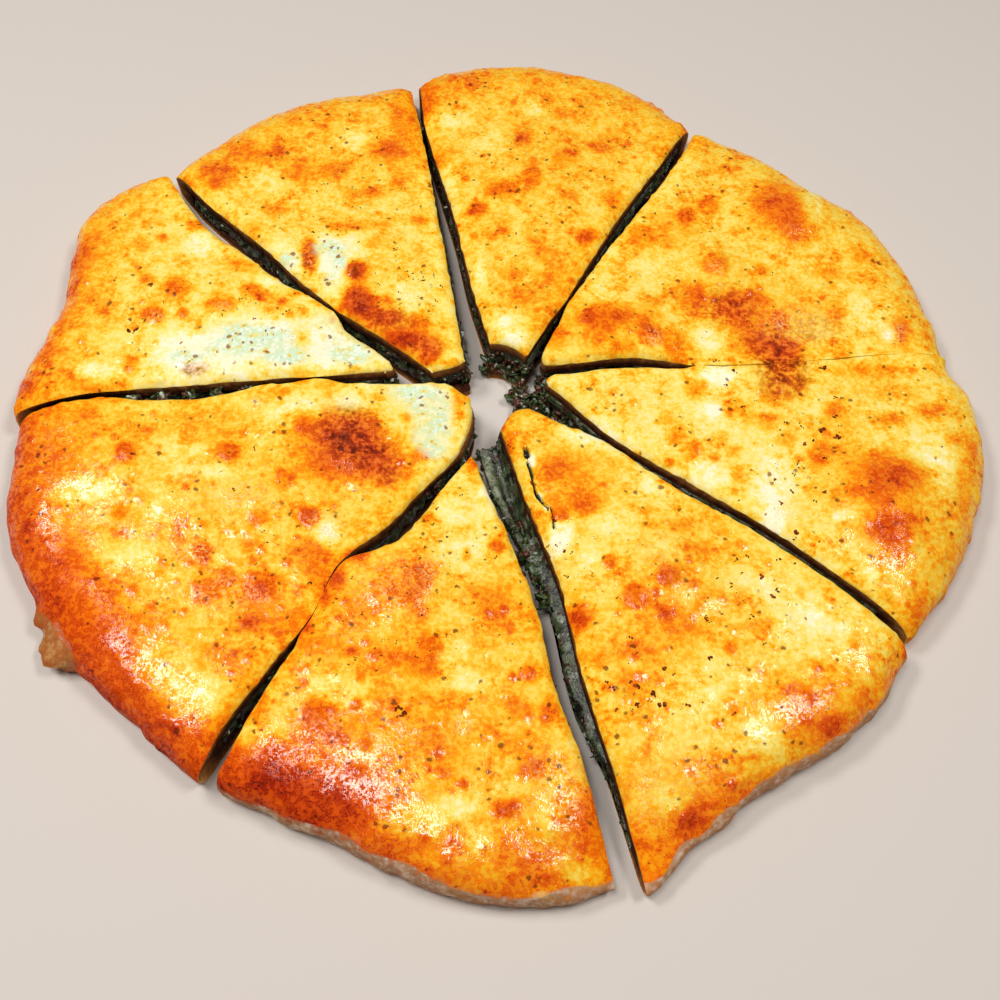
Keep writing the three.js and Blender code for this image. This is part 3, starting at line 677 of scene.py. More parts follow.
class Shader:
    """A material's nodes, made and joined in one call each."""

    def __init__(self, name):
        self.material = bpy.data.materials.new(name)
        self.material.use_nodes = True
        self.tree = self.material.node_tree
        self.surface = self.tree.nodes["Principled BSDF"]
        self.here = self.add("ShaderNodeTexCoord").outputs["Object"]

    def add(self, kind, inputs=None, **settings):
        node = self.tree.nodes.new(kind)
        for key, value in settings.items():
            setattr(node, key, value)
        for key, value in (inputs or {}).items():
            self.set(node.inputs[key], value)
        return node

    def set(self, socket, value):
        if isinstance(value, bpy.types.NodeSocket):
            self.tree.links.new(value, socket)
        else:
            socket.default_value = value

    def math(self, operation, *values):
        """A sum or the like of two values, or of more, one after the other."""
        result = values[0]
        for value in values[1:]:
            result = self.add("ShaderNodeMath", {0: result, 1: value}, operation=operation).outputs[0]
        return result

    def plus(self, *values):
        return self.math("ADD", *values)

    def times(self, *values):
        return self.math("MULTIPLY", *values)

    def swing(self, value, amount):
        """How far a value lies from a half, times an amount."""
        return self.times(self.math("SUBTRACT", value, 0.5), amount)

    def noise(self, size, detail, roughness):
        """Noise whose grains are about size millimetres."""
        inputs = {"Vector": self.here, "Scale": 1 / (size * MM), "Detail": detail, "Roughness": roughness}
        return self.add("ShaderNodeTexNoise", inputs).outputs["Fac"]

    def scraps(self, spacing, bend):
        """Bent cells of about spacing millimetres: how far from the middle, and a chance value for each."""
        sway = self.add("ShaderNodeTexNoise", {"Vector": self.here, "Scale": 1 / (SWAY * MM), "Detail": 2.0})
        bending = {0: sway.outputs["Color"], 1: (bend * MM,) * 3, 2: self.here}
        bent = self.add("ShaderNodeVectorMath", bending, operation="MULTIPLY_ADD").outputs["Vector"]
        cells = self.add("ShaderNodeTexVoronoi", {"Vector": bent, "Scale": 1 / (spacing * MM)})
        pick = self.add("ShaderNodeSeparateColor", {"Color": cells.outputs["Color"]}).outputs["Red"]
        return cells.outputs["Distance"], pick

    def value(self, name):
        return self.add("ShaderNodeAttribute", attribute_name=name).outputs["Fac"]

    def ramp(self, factor, stops):
        node = self.add("ShaderNodeValToRGB", {"Fac": factor})
        while len(node.color_ramp.elements) < len(stops):
            node.color_ramp.elements.new(1.0)
        for element, (place, colour) in zip(node.color_ramp.elements, stops):
            element.position = place
            element.color = srgb(*colour)
        return node.outputs["Color"]

    def mix(self, factor, first, second):
        node = self.add("ShaderNodeMix", data_type="RGBA")
        for key, value in (("Factor", factor), ("A", first), ("B", second)):
            self.set([s for s in node.inputs if s.name == key and s.enabled][0], value)
        return [s for s in node.outputs if s.enabled][0]

    def between(self, factor, low, high, start=0.0, end=1.0):
        """From low at start to high at end, and level beyond them."""
        inputs = {"Value": factor, "From Min": start, "From Max": end, "To Min": low, "To Max": high}
        return self.add("ShaderNodeMapRange", inputs).outputs["Result"]

    def bump(self, height, distance, strength, normal=None):
        inputs = {"Height": height, "Distance": distance * MM, "Strength": strength}
        if normal is not None:
            inputs["Normal"] = normal
        return self.add("ShaderNodeBump", inputs).outputs["Normal"]

    def finish(self, inputs):
        """The material, with the inputs of its surface set by name."""
        for key, value in inputs.items():
            self.set(self.surface.inputs[key], value)
        return self.material


# The crust's colours, from pale dough to burnt, and those of its other places, by how dark the mottling is.
BAKING = (
    (.0, (255, 248, 212)), (.16, (254, 238, 156)), (.32, (253, 224, 102)), (.45, (252, 199, 52)),
    (.56, (251, 168, 14)), (.66, (247, 130, 2)), (.76, (228, 88, 2)), (.86, (182, 44, 2)),
    (.94, (112, 20, 2)), (1.0, (54, 12, 4)),
)
SCORCHING = (
    (.36, (246, 160, 84)), (.44, (218, 94, 30)), (.52, (172, 52, 14)), (.6, (112, 28, 9)),
    (.7, (56, 16, 8)),
)
THIN_GREEN = (
    (.34, (255, 255, 246)), (.44, (238, 250, 226)), (.5, (206, 234, 206)), (.55, (226, 236, 180)),
    (.6, (240, 222, 132)), (.66, (214, 170, 82)), (.72, (120, 108, 58)),
)
FLOUR = ((0.34, (146, 98, 64)), (0.5, (184, 142, 106)), (0.66, (222, 198, 172)))
CRUMB = ((0.3, (128, 74, 32)), (0.5, (176, 112, 54)), (0.7, (220, 164, 92)))
# Crumb deeper in a cut face, darkened as painted shade.
SHADED_CRUMB = ((0.3, (30, 13, 6)), (0.5, (64, 30, 14)), (0.7, (104, 58, 28)))
TORN = ((0.42, (12, 8, 4)), (0.5, (66, 64, 44)), (0.62, (128, 126, 98)))
DOTS = ((0.0, (150, 66, 4)), (0.5, (120, 44, 3)), (1.0, (74, 14, 4)))
# The mottling, coarse to fine: size in millimetres, detail and roughness.
BLOTCH, MOTTLE, GRAIN, FINE = (8, 3, 0.55), (2.8, 3, 0.6), (1.2, 2, 0.6), (0.8, 2, 0.6)
# How far it shifts the bake, how the shift lessens from golden to brown, and how it leans to the brown.
BLOTCH_SHIFT, MOTTLE_SHIFT, GRAIN_SHIFT = 0.72, 0.58, 0.5
SHIFT_LESSENS = 1.0, 0.3, 0.35, 0.8
SHIFT_LEAN, LEAN_BALANCE = 1.5, 0.015
# Fine creases along one level of the damp grain, browner where the crust is.
DAMP_MOTTLE = 0.5
CREASE_LEVEL, CREASE_WIDTH = 0.54, 0.035
CREASE_BROWNING = 0.08, 0.13, 0.4, 0.7
# How patchy the special places are, and how their values turn to shares: the share at the start and at
# the end, and where those are.
PATCHY_MOTTLE, PATCHY_GRAIN, RAGGED, BROKEN = 0.6, 0.4, 4.0, 3.0
# How the painted highlight flecks turn to shares.
PAINTED_GLINT_SHARE = 0.85, 0, 0.43, 0.52
SCORCH_SHARE, SCORCH_DEEPENS = (0, 0.9, 0.1, 0.75), 0.12
THIN_SHARE = 0, 0.95, 0.2, 0.75
FLOUR_SHARE = 0, 0.92, 0.15, 0.75
TORN_SHARE = 0, 1, 0.3, 0.6
BUTTER_SHARE = 1, 0, 0.49, 0.56
SCORCH_DRYNESS = 0.3
# Dark dots: their spacing, how they are bent and crowded, and how large and strong they are.
DOT_SPACING, DOT_BEND, SWAY = 2.4, 1.6, 1.5
DOT_CROWDING, DOTS_ON_THIN = 1.2, 0.3
DOT_SIZE = 0.0, 0.36, 0.57, 1.12
DOT_SHARE = 0.8, 0, -0.1, 0.04
CRUST_ROUGHNESS = 0.7, 0.95, 0.35, 0.65
CRUST_BUMP = 0.13, 0.6
SHEEN_LEVEL = 0.1
BUTTER_GLOSS = 0.14
BUTTER_SHINE = 1.62
CRISP_EDGE = math.radians(50)


def crust_material():
    s = Shader("buttered_crust")
    blotch, mottle, grain, fine = (s.noise(*kind) for kind in (BLOTCH, MOTTLE, GRAIN, FINE))
    bake, scorch, crumb = (s.value(name) for name in ("bake", "scorch", "crumb"))

    # The baked colour, with its mottling and creases
    shift = s.plus(s.swing(blotch, BLOTCH_SHIFT), s.swing(mottle, MOTTLE_SHIFT), s.swing(grain, GRAIN_SHIFT))
    shift = s.times(shift, s.between(bake, *SHIFT_LESSENS))
    shift = s.plus(shift, s.times(shift, shift, SHIFT_LEAN), -LEAN_BALANCE)
    damp = s.plus(grain, s.swing(mottle, DAMP_MOTTLE))
    crease = s.between(s.math("ABSOLUTE", s.plus(damp, -CREASE_LEVEL), 0.0), 1, 0, 0, CREASE_WIDTH)
    crease = s.times(crease, s.between(bake, *CREASE_BROWNING))
    colour = s.ramp(s.plus(bake, shift, crease), BAKING)

    # Painted highlight flecks, scorched and thin places, dots, flour, crumb with painted shade, and the tear
    # over it
    # Painted highlights: pale flecks where the butter would glint.
    colour = s.mix(s.times(s.between(fine, *PAINTED_GLINT_SHARE), s.value("painted_glints")), colour, srgb(*PAINTED_GLINT_COLOUR))
    patchy = s.plus(s.times(mottle, PATCHY_MOTTLE), s.times(grain, PATCHY_GRAIN))
    ragged = s.plus(s.swing(patchy, RAGGED), 1.0)
    scorched = s.between(s.times(scorch, ragged), *SCORCH_SHARE)
    colour = s.mix(scorched, colour, s.ramp(s.plus(patchy, s.swing(scorch, SCORCH_DEEPENS)), SCORCHING))
    thin = s.between(s.times(s.value("thin"), s.plus(ragged, s.swing(blotch, BROKEN))), *THIN_SHARE)
    colour = s.mix(thin, colour, s.ramp(patchy, THIN_GREEN))
    from_dot, pick = s.scraps(DOT_SPACING, DOT_BEND)
    crowded = s.plus(pick, s.swing(blotch, DOT_CROWDING), s.times(thin, DOTS_ON_THIN))
    dot = s.between(s.math("SUBTRACT", from_dot, s.between(crowded, *DOT_SIZE)), *DOT_SHARE)
    colour = s.mix(dot, colour, s.ramp(bake, DOTS))
    floury = s.between(s.times(s.value("flour"), ragged), *FLOUR_SHARE)
    colour = s.mix(floury, colour, s.ramp(patchy, FLOUR))
    # Crumb of a cut face darkens deeper in as painted shade.
    dough = s.mix(s.value("cut_shade"), s.ramp(patchy, CRUMB), s.ramp(patchy, SHADED_CRUMB))
    colour = s.mix(crumb, colour, dough)
    torn = s.between(s.times(s.value("torn"), ragged), *TORN_SHARE)
    colour = s.mix(torn, colour, s.ramp(mottle, TORN))

    # The butter, in small pools where the crust isn't dry
    dry = s.math("MAXIMUM", floury, crumb, s.times(scorched, SCORCH_DRYNESS))
    pools = s.between(s.plus(fine, s.swing(mottle, DAMP_MOTTLE)), *BUTTER_SHARE)
    normal = s.bump(s.plus(grain, fine), *CRUST_BUMP)
    return s.finish({
        "Base Color": colour,
        "Roughness": s.between(grain, *CRUST_ROUGHNESS),
        "Specular IOR Level": SHEEN_LEVEL,
        "Normal": normal,
        "Coat Weight": s.times(pools, s.value("butter"), s.math("SUBTRACT", 1.0, dry)),
        "Coat Roughness": BUTTER_GLOSS,
        "Coat IOR": BUTTER_SHINE,
        "Coat Normal": normal,
    })


BUTTERED_CRUST = crust_material()
crust_tops = []


def close_cuts(number, outside, from_cut):
    """How far to push a slice's edges so that they meet its neighbours' where they nearly touch."""
    push = np.zeros(outside.shape[:2] + (2,))
    closed = np.zeros(outside.shape[:2])
    right_half = np.arange(COLUMNS) < COLUMNS // 2
    for first, start, end, seam in TOUCHING:
        if number not in (first, first + 1):
            continue
        side, at, half = ("right", 0, right_half) if number == first else ("left", -1, ~right_half)
        other, facing_side = (first + 1, "left") if side == "right" else (first, "right")
        facing = Plan(SLICES[other - 1]).cut(facing_side, np.linspace(0, 1, TOUCHING_STEPS))
        edge = outside[at, :, :2]
        apart = facing[None] - edge[:, None]
        nearest = apart[np.arange(len(edge)), np.linalg.norm(apart, axis=-1).argmin(1)]
        reach = np.linalg.norm(edge, axis=-1)
        along = ease(reach, start, start + TOUCHING_EASE) * ease(reach, end, end - TOUCHING_EASE)
        near = np.exp(-((from_cut / TOUCHING_DEPTH) ** 2)) * half[:, None]
        gap = np.linalg.norm(nearest, axis=-1, keepdims=True)
        half_way = along[:, None] * nearest * np.maximum(0, 0.5 - seam / 2 / (gap + 1e-9))
        push += half_way[None] * near[..., None]
        closed = np.maximum(closed, (1 - seam) * along[None] * near)
    return push, closed


def baked_skin(number, outside, normals, from_cut, from_rim):
    """The outside of a slice's crust with its relief, worn edges, closed cuts and lump."""
    plan = outside[..., :2]
    bumps = waves(outside * (1, 1, 0), RIM_BUMP) + waves(outside, RIM_KNOB)
    bumps *= np.exp(-from_rim / RIM_BUMPS_REACH)
    lift = relief(plan, picture_place(plan)) + small_blisters(plan)[0] + bumps
    push, closed = close_cuts(number, outside, from_cut)
    worn = EDGE_WEAR * np.maximum(0, 1 + waves(outside, *EDGE_RAGGED)) * np.exp(-from_cut / EDGE_WEAR_REACH)
    worn *= (1 - closed) * RELIEF_LEFT
    inward = (outside[COLUMNS // 2, TOP_ROWS // 2] - outside) * (1, 1, 0)
    skin = outside + normals * (lift * RELIEF_LEFT)[..., None] + unit(inward + 1e-9) * worn[..., None]
    skin[..., :2] += push * RELIEF_LEFT[:, None]
    skin[..., 2] += RELIEF_LEFT * closed * cut_droop(from_cut)

    edge = plan[:, UPPER_ROWS - 1]
    thick = ease(skin[..., 2], *LUMP_HEIGHTS) * (1 + waves(skin, *LUMP_RAGGED))
    thick[:, UPPER_ROWS:] -= 1
    thick[:, -BASE_ROWS:] = 0
    skin[..., :2] += unit(edge)[:, None] * (rim_lump(edge)[:, None] * thick)[..., None]
    skin[:, -BASE_ROWS:, 2] = 0
    skin[..., 2] = np.maximum(skin[..., 2], 0)
    return skin


def crust_shell(skin, inside, columns, lining_columns):
    """Points and faces of a slice's crust, its skin's vertices, and the rows of its cuts and two ends."""
    outer = np.arange(skin[..., 0].size).reshape(skin.shape[:2])
    inner = outer.size + np.arange(inside[..., 0].size).reshape(inside.shape[:2])
    points = [skin.reshape(-1, 3), inside.reshape(-1, 3)]
    made = outer.size + inner.size
    faces = [sheet(outer), sheet(inner)[:, ::-1]]
    sides = []
    for at, beside in ((0, 1), (-1, -2)):
        layers = []
        across = unit(skin[at] - skin[beside])
        for share in CUT_ROWS:
            face = skin[at] * (1 - share) + inside[at] * share
            pores = min(1, PORES_SET_IN * share) * (waves(face, CUT_PORES) - PORE_DEPTH)
            points.append(face + across * [1, 1, 0] * pores[:, None])
            layers.append(made + np.arange(len(face)))
            made += len(face)
        side = np.stack((outer[at], *layers, inner[at]))
        faces.append(sheet(side)[:, ::-1] if at == 0 else sheet(side))
        sides.append(layers)
    rings = []
    for end in (0, -1):
        lining = [np.interp(columns, lining_columns, inside[:, end, axis]) for axis in range(3)]
        row = skin[:, end] + CUT_ROWS[0] * (np.stack(lining, -1) - skin[:, end])
        points.append(row[1:-1])
        between = made + np.arange(COLUMNS - 2)
        rings.append(np.concatenate(((sides[0][0][end],), between, (sides[1][0][end],))))
        made += COLUMNS - 2
    points = np.concatenate(points)
    for end, ring in zip((0, -1), rings):
        near = [layer[end] for layer in sides[0]][1:]
        far = [layer[end] for layer in sides[1]][:0:-1]
        tip = stitch(ring, np.array(near + list(inner[:, end]) + far), points)
        edge_row = sheet(np.stack((outer[:, end], ring)))
        faces += [tip[:, ::-1], edge_row] if end == 0 else [tip, edge_row[:, ::-1]]
    return points, faces, outer, sides, rings


def crust_values(number, outside, skin, from_cut, from_rim):
    """How far each place of a slice's skin is baked, scorched, floury and so on."""
    plan, height = outside[..., :2], skin[..., 2]
    picture = picture_place(plan)
    edge = plan[:, UPPER_ROWS - 1]
    bearing = np.arctan2(skin[..., 1], skin[..., 0]) / (2 * math.pi) % 1
    crusty = ease(rim_lump(edge), *CRUSTY_REACH)[:, None]
    crusty_lump = crusty * (height < CRUSTY_BELOW)

    # Browned spots, and paler ones of which some are painted highlights.
    spots = BROWNED_STRENGTH * soft_spots(BROWNED_AND_GLINTS, picture)
    # Blisters brown on their crowns and get painted shade round their feet.
    spots += small_blisters(plan)[1] + blister_browning_and_shade(plan, picture)
    paler = PALER_AROUND_THIN * np.minimum(soft_spots(THIN_CRUST, picture, AROUND_THIN), 1)
    base = SLICE_BAKE[number - 1] + np.minimum(spots, 0) - paler
    round_rim = ease(from_rim, RIM_BROWNING_REACH, 0) ** RIM_BROWNING_FADE
    round_rim += UNDERSIDE_BROWNING * ease(height, *UNDERSIDE_HEIGHTS)
    rim_browning = even_curve(RIM_BROWNING + RIM_BROWNING[:1], bearing) * round_rim
    browned = np.maximum(spots, 0) + rim_browning + LUMP_BROWNING * crusty_lump
    room = DEEPEST_BAKE - base

    floury = np.interp(bearing * 360, *np.transpose(FLOURY))
    floury += np.clip(rim_lump(edge, RIM_LUMPS[:1]) - LUMP_FLOUR_FROM, 0, LUMP_FLOUR_MOST)[:, None]
    floury = floury * (1 + waves(skin, FLOUR_RAGGED)) - from_rim * (height > LIP_HEIGHT)
    wide = BLISTER_DULL_SPREAD
    blister_tops = tuple((x, y, wide * half, wide * half, BLISTER_DULL) for x, y, half, _ in BLISTERS)
    butter = ease(from_cut, *BUTTER_FROM_CUT) * ease(height, *BUTTER_HEIGHTS)
    return {
        "bake": base + room * (1 - np.exp(-browned / room)),
        "scorch": soft_spots(SCORCHED, picture) + LUMP_SCORCH * crusty_lump,
        "thin": soft_spots(THIN_CRUST, picture),
        "flour": (1 - FLOUR_LOST * crusty) * ease(floury, 0, FLOUR_EDGE),
        "crumb": LUMP_CRUMB * crusty_lump,
        "torn": np.clip(TEAR_DARKNESS * torn_open(picture), 0, 1) * RELIEF_LEFT,
        "butter": butter * np.clip(1 - soft_spots(DULL + blister_tops, picture), 0, 1),
        "painted_glints": soft_spots(PAINTED_GLINTS, picture),
        "cut_shade": np.zeros_like(base),
    }


def make_crust(shape, number):
    columns = column_places(COLUMNS, COLUMN_CROWDING)
    lining_columns = column_places(LINING_COLUMNS, LINING_CROWDING)
    outside, _, from_cut, from_rim = crust_sections(shape, columns)
    _, inside, _, _ = crust_sections(shape, lining_columns)
    normals = grid_normals(outside)
    normals *= np.sign(normals[COLUMNS // 2, TOP_ROWS // 2, 2])
    skin = baked_skin(number, outside, normals, from_cut, from_rim)
    points, faces, outer, sides, rings = crust_shell(skin, inside, columns, lining_columns)

    # The cut faces and the lining are crumb, darkened away from the skin as painted shade
    values = {}
    for key, value in crust_values(number, outside, skin, from_cut, from_rim).items():
        inner_value = 1.0 if key in ("crumb", "cut_shade") else 0.0
        values[key] = np.concatenate((value.ravel(), np.full(len(points) - outer.size, inner_value)))
    for layers in sides:
        for share, layer in zip(CUT_ROWS, layers):
            # Deeper rows of a cut face get more painted shade.
            values["cut_shade"][layer] = min(1, CUT_SHADE_SETS_IN * share)
    for ring in rings:
        values["cut_shade"][ring] = CUT_ROWS[0]

    points[:, :2] -= BREAD_MIDDLE
    crust_tops.append((points[outer[:, :UPPER_ROWS]].reshape(-1, 3), normals[:, :UPPER_ROWS].reshape(-1, 3)))
    crust = make_mesh(f"baked_crust_{number}", points, facing_out(points, faces), values, BUTTERED_CRUST)
    crust.data.set_sharp_from_angle(angle=CRISP_EDGE)
    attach(crust, "root")
    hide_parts(f"crust_{number}")


for number, shape in enumerate(SLICES, 1):
    make_crust(shape, number)


# The filling
# A slab of chopped greens and meat that runs through each slice between the two layers of crust. It was
# pressed flat when the bread was rolled, and its cut faces are rough, moist and dark.
FILLING_GAP = 0.5
FILLING_ROWS, FILLING_LAYERS = 170, 10
FILLING_COLUMNS, FILLING_CROWDING = 18, 0.85
# Filling that is pressed out of a cut: its columns, how far it sinks, the reach where it ends and over what
# length it tapers to the least share.
OOZE_COLUMNS = 9
OOZE_SINK = 0.35
OOZE_END, OOZE_TAPER, LEAST_OOZE = 124, 22, 0.15
OOZE_LUMPS, OOZE_LUMPS_SINK = ((0.9, 3, 10), (0.5, 1.4, 11)), 0.5
# One slice's filling has slid out next to its tip and sunk: how far out of the cut, the reach at which this
# begins to lessen and ends, how far its top sinks, more so at the back, its foot sinks and it is lumpier.
SLID_SLICE = 4
SLIDE, SLIDE_LESSENS, SLIDE_ENDS = 3.4, 34, 66
SLID_TOP, SLID_BACK, SLID_FOOT, SLID_LUMPIER = 2.2, 1.8, 2.6, 0.6
# The first part of it is painted paler as lit, around a reach and over a length, and behind it is a hollow.
LIT_REACH, LIT_LENGTH, LIT_FRONT = 29, 10, (0.55, 0.75)
HOLLOW_REACH, HOLLOW_LENGTH, HOLLOW_DEPTH, HOLLOW_BEHIND = 39, 11, 5, 0.6
FOOT_HEIGHT, THINNEST, THINNEST_LUMP = 0.2, 0.8, 0.6
# The lumps of a cut face, how far they stand back on the whole, and how far in and out they may reach.
FACE_LUMPS, FACE_SINK, FACE_LIMITS = ((0.9, 3, 3), (0.5, 1.3, 4)), 0.4, (-2, 0.6)
TIP_LUMP, TIP_SINK = (0.7, 2.4, 6), 0.5
# The chopped filling's colours; the palest scraps are painted glints on the moist filling.
CHOPPED = (
    (.0, (11, 10, 6)), (.2, (15, 15, 9)), (.26, (38, 46, 24)), (.44, (48, 58, 30)), (.5, (76, 88, 54)),
    (.62, (70, 80, 52)), (.67, (112, 120, 98)), (.74, (98, 104, 84)), (.79, (70, 34, 20)),
    (.88, (44, 24, 15)), (.93, (140, 150, 132)), (1.0, (168, 178, 164)),
)
# Colours of the slid filling where it is painted as lit by the light.
PAINTED_LIT_FILLING = (
    (.3, (30, 30, 18)), (.38, (84, 88, 60)), (.48, (130, 136, 104)), (.58, (164, 170, 140)),
    (.66, (112, 90, 62)), (.74, (214, 220, 206)),
)
SCRAP_SPACING, SCRAP_BEND = 1.9, 3.2
SCRAP_SHARE, CHOPPED_GRAIN_SHARE = 0.8, 0.25
CHOPPED_GRAIN, PAINTED_LIT_GRAIN, CHOPPED_ROUGH = (0.8, 2, 0.6), (1.3, 3, 0.7), (0.7, 2, 0.6)
SCRAP_BUMP, ROUGH_BUMP = (0.5, 0.5), (0.4, 0.6)
MOIST = 0.35
MOIST_SHINE = 0.5


def filling_material():
    s = Shader("chopped_greens")
    _, pick = s.scraps(SCRAP_SPACING, SCRAP_BEND)
    chopped = s.plus(s.times(pick, SCRAP_SHARE), s.times(s.noise(*CHOPPED_GRAIN), CHOPPED_GRAIN_SHARE))
    # Where the slid filling lies in the light it is painted paler: painted light.
    slid = s.ramp(s.noise(*PAINTED_LIT_GRAIN), PAINTED_LIT_FILLING)
    return s.finish({
        "Base Color": s.mix(s.value("lit"), s.ramp(chopped, CHOPPED), slid),
        "Roughness": MOIST,
        "Normal": s.bump(s.noise(*CHOPPED_ROUGH), *ROUGH_BUMP, s.bump(pick, *SCRAP_BUMP)),
    })


CHOPPED_GREENS = filling_material()
cut_faces = []


def oozed_filling(shape, number, above, below, cover):
    """The columns of filling pressed out of a slice's right cut, and how far they are painted lit."""
    reach = np.linalg.norm(above[0, :, :2], axis=-1)
    slid = (number == SLID_SLICE) * ease(reach, SLIDE_ENDS, SLIDE_LESSENS)
    in_light = slid * np.exp(-(((reach - LIT_REACH) / LIT_LENGTH) ** 2))
    hollow = HOLLOW_DEPTH * slid * np.exp(-(((reach - HOLLOW_REACH) / HOLLOW_LENGTH) ** 2))
    spill = shape["ooze"] * np.clip((OOZE_END - reach) / OOZE_TAPER, LEAST_OOZE, 1) + SLIDE * slid
    outward = from_ray(shape["right"][0], 0, -1)
    tops, feet, lit = [], [], []
    for turn in np.linspace(math.pi / 2, 0, OOZE_COLUMNS + 1)[:-1]:
        out, back = math.sin(turn), math.cos(turn)
        top, foot = above[0].copy(), below[0].copy()
        for layer in (top, foot):
            layer[:, :2] += outward * (spill * out)[:, None]
        top[:, 2] += (cover - top[:, 2]) * OOZE_SINK * (1 - back)
        top[:, 2] -= slid * (SLID_TOP + SLID_BACK * back)
        top[:, 2] -= hollow * (out < HOLLOW_BEHIND)
        foot[:, 2] = np.minimum(foot[:, 2] - slid * SLID_FOOT * out, top[:, 2] - THINNEST)
        foot[:, 2] = np.maximum(FOOT_HEIGHT, foot[:, 2])
        top[:, 2] += (1 + SLID_LUMPIER * slid) * (waves(top, *OOZE_LUMPS) - OOZE_LUMPS_SINK) * out
        top[:, 2] = np.maximum(top[:, 2], foot[:, 2] + THINNEST_LUMP)
        tops.append(top)
        feet.append(foot)
        lit.append(in_light * ease(out, *LIT_FRONT))
    return np.stack(tops), np.stack(feet), np.stack(lit)


def make_filling(shape, number):
    plan = Plan(shape)
    column = Column(plan, column_places(FILLING_COLUMNS, FILLING_CROWDING)[:, None])
    cover, seam = CRUST_THICKNESS + FILLING_GAP, RIM_SEAM + FILLING_GAP
    from_rim = column.length + (seam - column.length) * np.linspace(0, 1, FILLING_ROWS)
    above, below = column.top(from_rim, cover), column.flat(from_rim, float(cover))
    lit = np.zeros(above.shape[:2])
    if shape["ooze"] > 0:
        oozed = oozed_filling(shape, number, above, below, cover)
        above, below, lit = (np.concatenate(both) for both in zip(oozed, (above, below, lit)))
    share = np.linspace(0, 1, FILLING_LAYERS)[None, None, :, None]
    block = above[:, :, None] * (1 - share) + below[:, :, None] * share

    # The rough faces at the two cuts and at the tip
    for at, side, turned in ((0, "right", -1), (-1, "left", 1)):
        face, out = block[at], from_ray(shape[side][0], 0, turned)
        lumps = np.clip(waves(face, *FACE_LUMPS) - FACE_SINK, *FACE_LIMITS)
        face[..., :2] += out * lumps[..., None]
        cut_faces.append((face - (*BREAD_MIDDLE, 0), np.array((*out, 0))))
    tip = block[:, 0]
    tip[..., :2] += plan.inward * (waves(tip, TIP_LUMP) - TIP_SINK)[..., None]
    cut_faces.append((tip - (*BREAD_MIDDLE, 0), np.array((*plan.inward, 0))))

    # The block's outer points and its six sides
    shell = np.zeros(block.shape[:3], bool)
    for axis in range(3):
        np.moveaxis(shell, axis, 0)[[0, -1]] = True
    index = np.full(block.shape[:3], -1)
    index[shell] = np.arange(shell.sum())
    points = block[shell]
    faces = []
    for axis in range(3):
        turned = np.moveaxis(index, axis, 0)
        flip = 1 if axis == 1 else -1
        faces += [sheet(turned[0])[:, ::flip], sheet(turned[-1])[:, ::-flip]]
    points[:, :2] -= BREAD_MIDDLE
    values = {"lit": np.repeat(lit[:, :, None], FILLING_LAYERS, 2)[shell]}
    faces = facing_out(points, faces)
    filling = make_mesh(f"chopped_filling_{number}", points, faces, values, CHOPPED_GREENS)
    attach(filling, "root")
    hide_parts(f"filling_{number}")


for number, shape in enumerate(SLICES, 1):
    make_filling(shape, number)


# Bits of the filling
# Scraps of leaf, crumbs of meat and pale bits of onion that the knife has dragged out. They stick to the
# moist cut faces of the filling and lie half sunk in them, or are spilled in the middle and along two cuts.
LEAF_SCRAPS, MEAT_CRUMBS, ONION_BITS = 26, 16, 7
LEAF_SIZE, MEAT_SIZE, ONION_SIZE = (1.5, 0.9, 0.25), (1.0, 0.8, 0.6), (1.0, 0.6, 0.35)
LEAF = ((0.35, (20, 30, 12)), (0.5, (48, 66, 28)), (0.65, (84, 100, 54)))
MEAT = ((0.35, (36, 16, 9)), (0.5, (78, 38, 22)), (0.65, (118, 66, 44)))
ONION = ((0.35, (120, 124, 104)), (0.5, (168, 176, 158)), (0.65, (204, 210, 196)))
BIT_GRAIN = 1.2, 3, 0.65
BIT_LUMPS = (0.3, 0.9, 13), (0.25, 0.45, 14)
BIT_ROUNDNESS = 2
ABOVE_FLOOR = 0.02
# How much the sizes vary, and how far a bit lies in or out of its face.
STUCK_SIZES, STUCK_DEPTH = (0.6, 1.25), (-0.5, 0.25)
SPILLED_SIZES, SPILLED_SPREAD, SPILLED_HEIGHT = (0.8, 1.6), 0.6, 1.2
# Spilled heaps, with a third as many bits as a face: place in millimetres and half width.
SPILLED = (
    (15, 5, 2.2, 3.2), (11, 2, 2.2, 2.6), (17, 0, 2.2, 2.8), (19, -4, 2.2, 2.6), (13, -3, 2.2, 2.4),
    (8, 6, 2.2, 2.2), (9, -2, 2.2, 2.2), (7, 1, 2.2, 2.0), (11, -6, 2.2, 2.2), (15, -8, 2.2, 2.4),
    (19, -10, 2.2, 2.0), (5, 10, 2.2, 2.2), (2, 12, 2.2, 2.0), (21, -8, 2.2, 2.2), (18, 4, 2.2, 3.6),
    (6, 13, 2.2, 2.4), (-2, 13, 2.2, 2.0), (-50, -3.1, 10.5, 1.0), (-72, -5.8, 10.5, 1.2),
    (-80, -6.8, 10.5, 1.2), (-88, -7.7, 10.5, 1.2), (-96, -8.7, 10.5, 1.2), (-104, -9.7, 10.5, 1.2),
    (8, -46, 5, 1.6), (10.4, -53, 5, 1.8), (13, -60, 5, 1.6), (15.4, -67, 5, 1.6),
)


def ball(subdivisions):
    """Points and triangles of a small round lump."""
    shape = bmesh.new()
    bmesh.ops.create_icosphere(shape, subdivisions=subdivisions, radius=1)
    points = np.array([v.co for v in shape.verts])
    faces = np.array([[v.index for v in f.verts] for f in shape.faces])
    shape.free()
    return points, faces


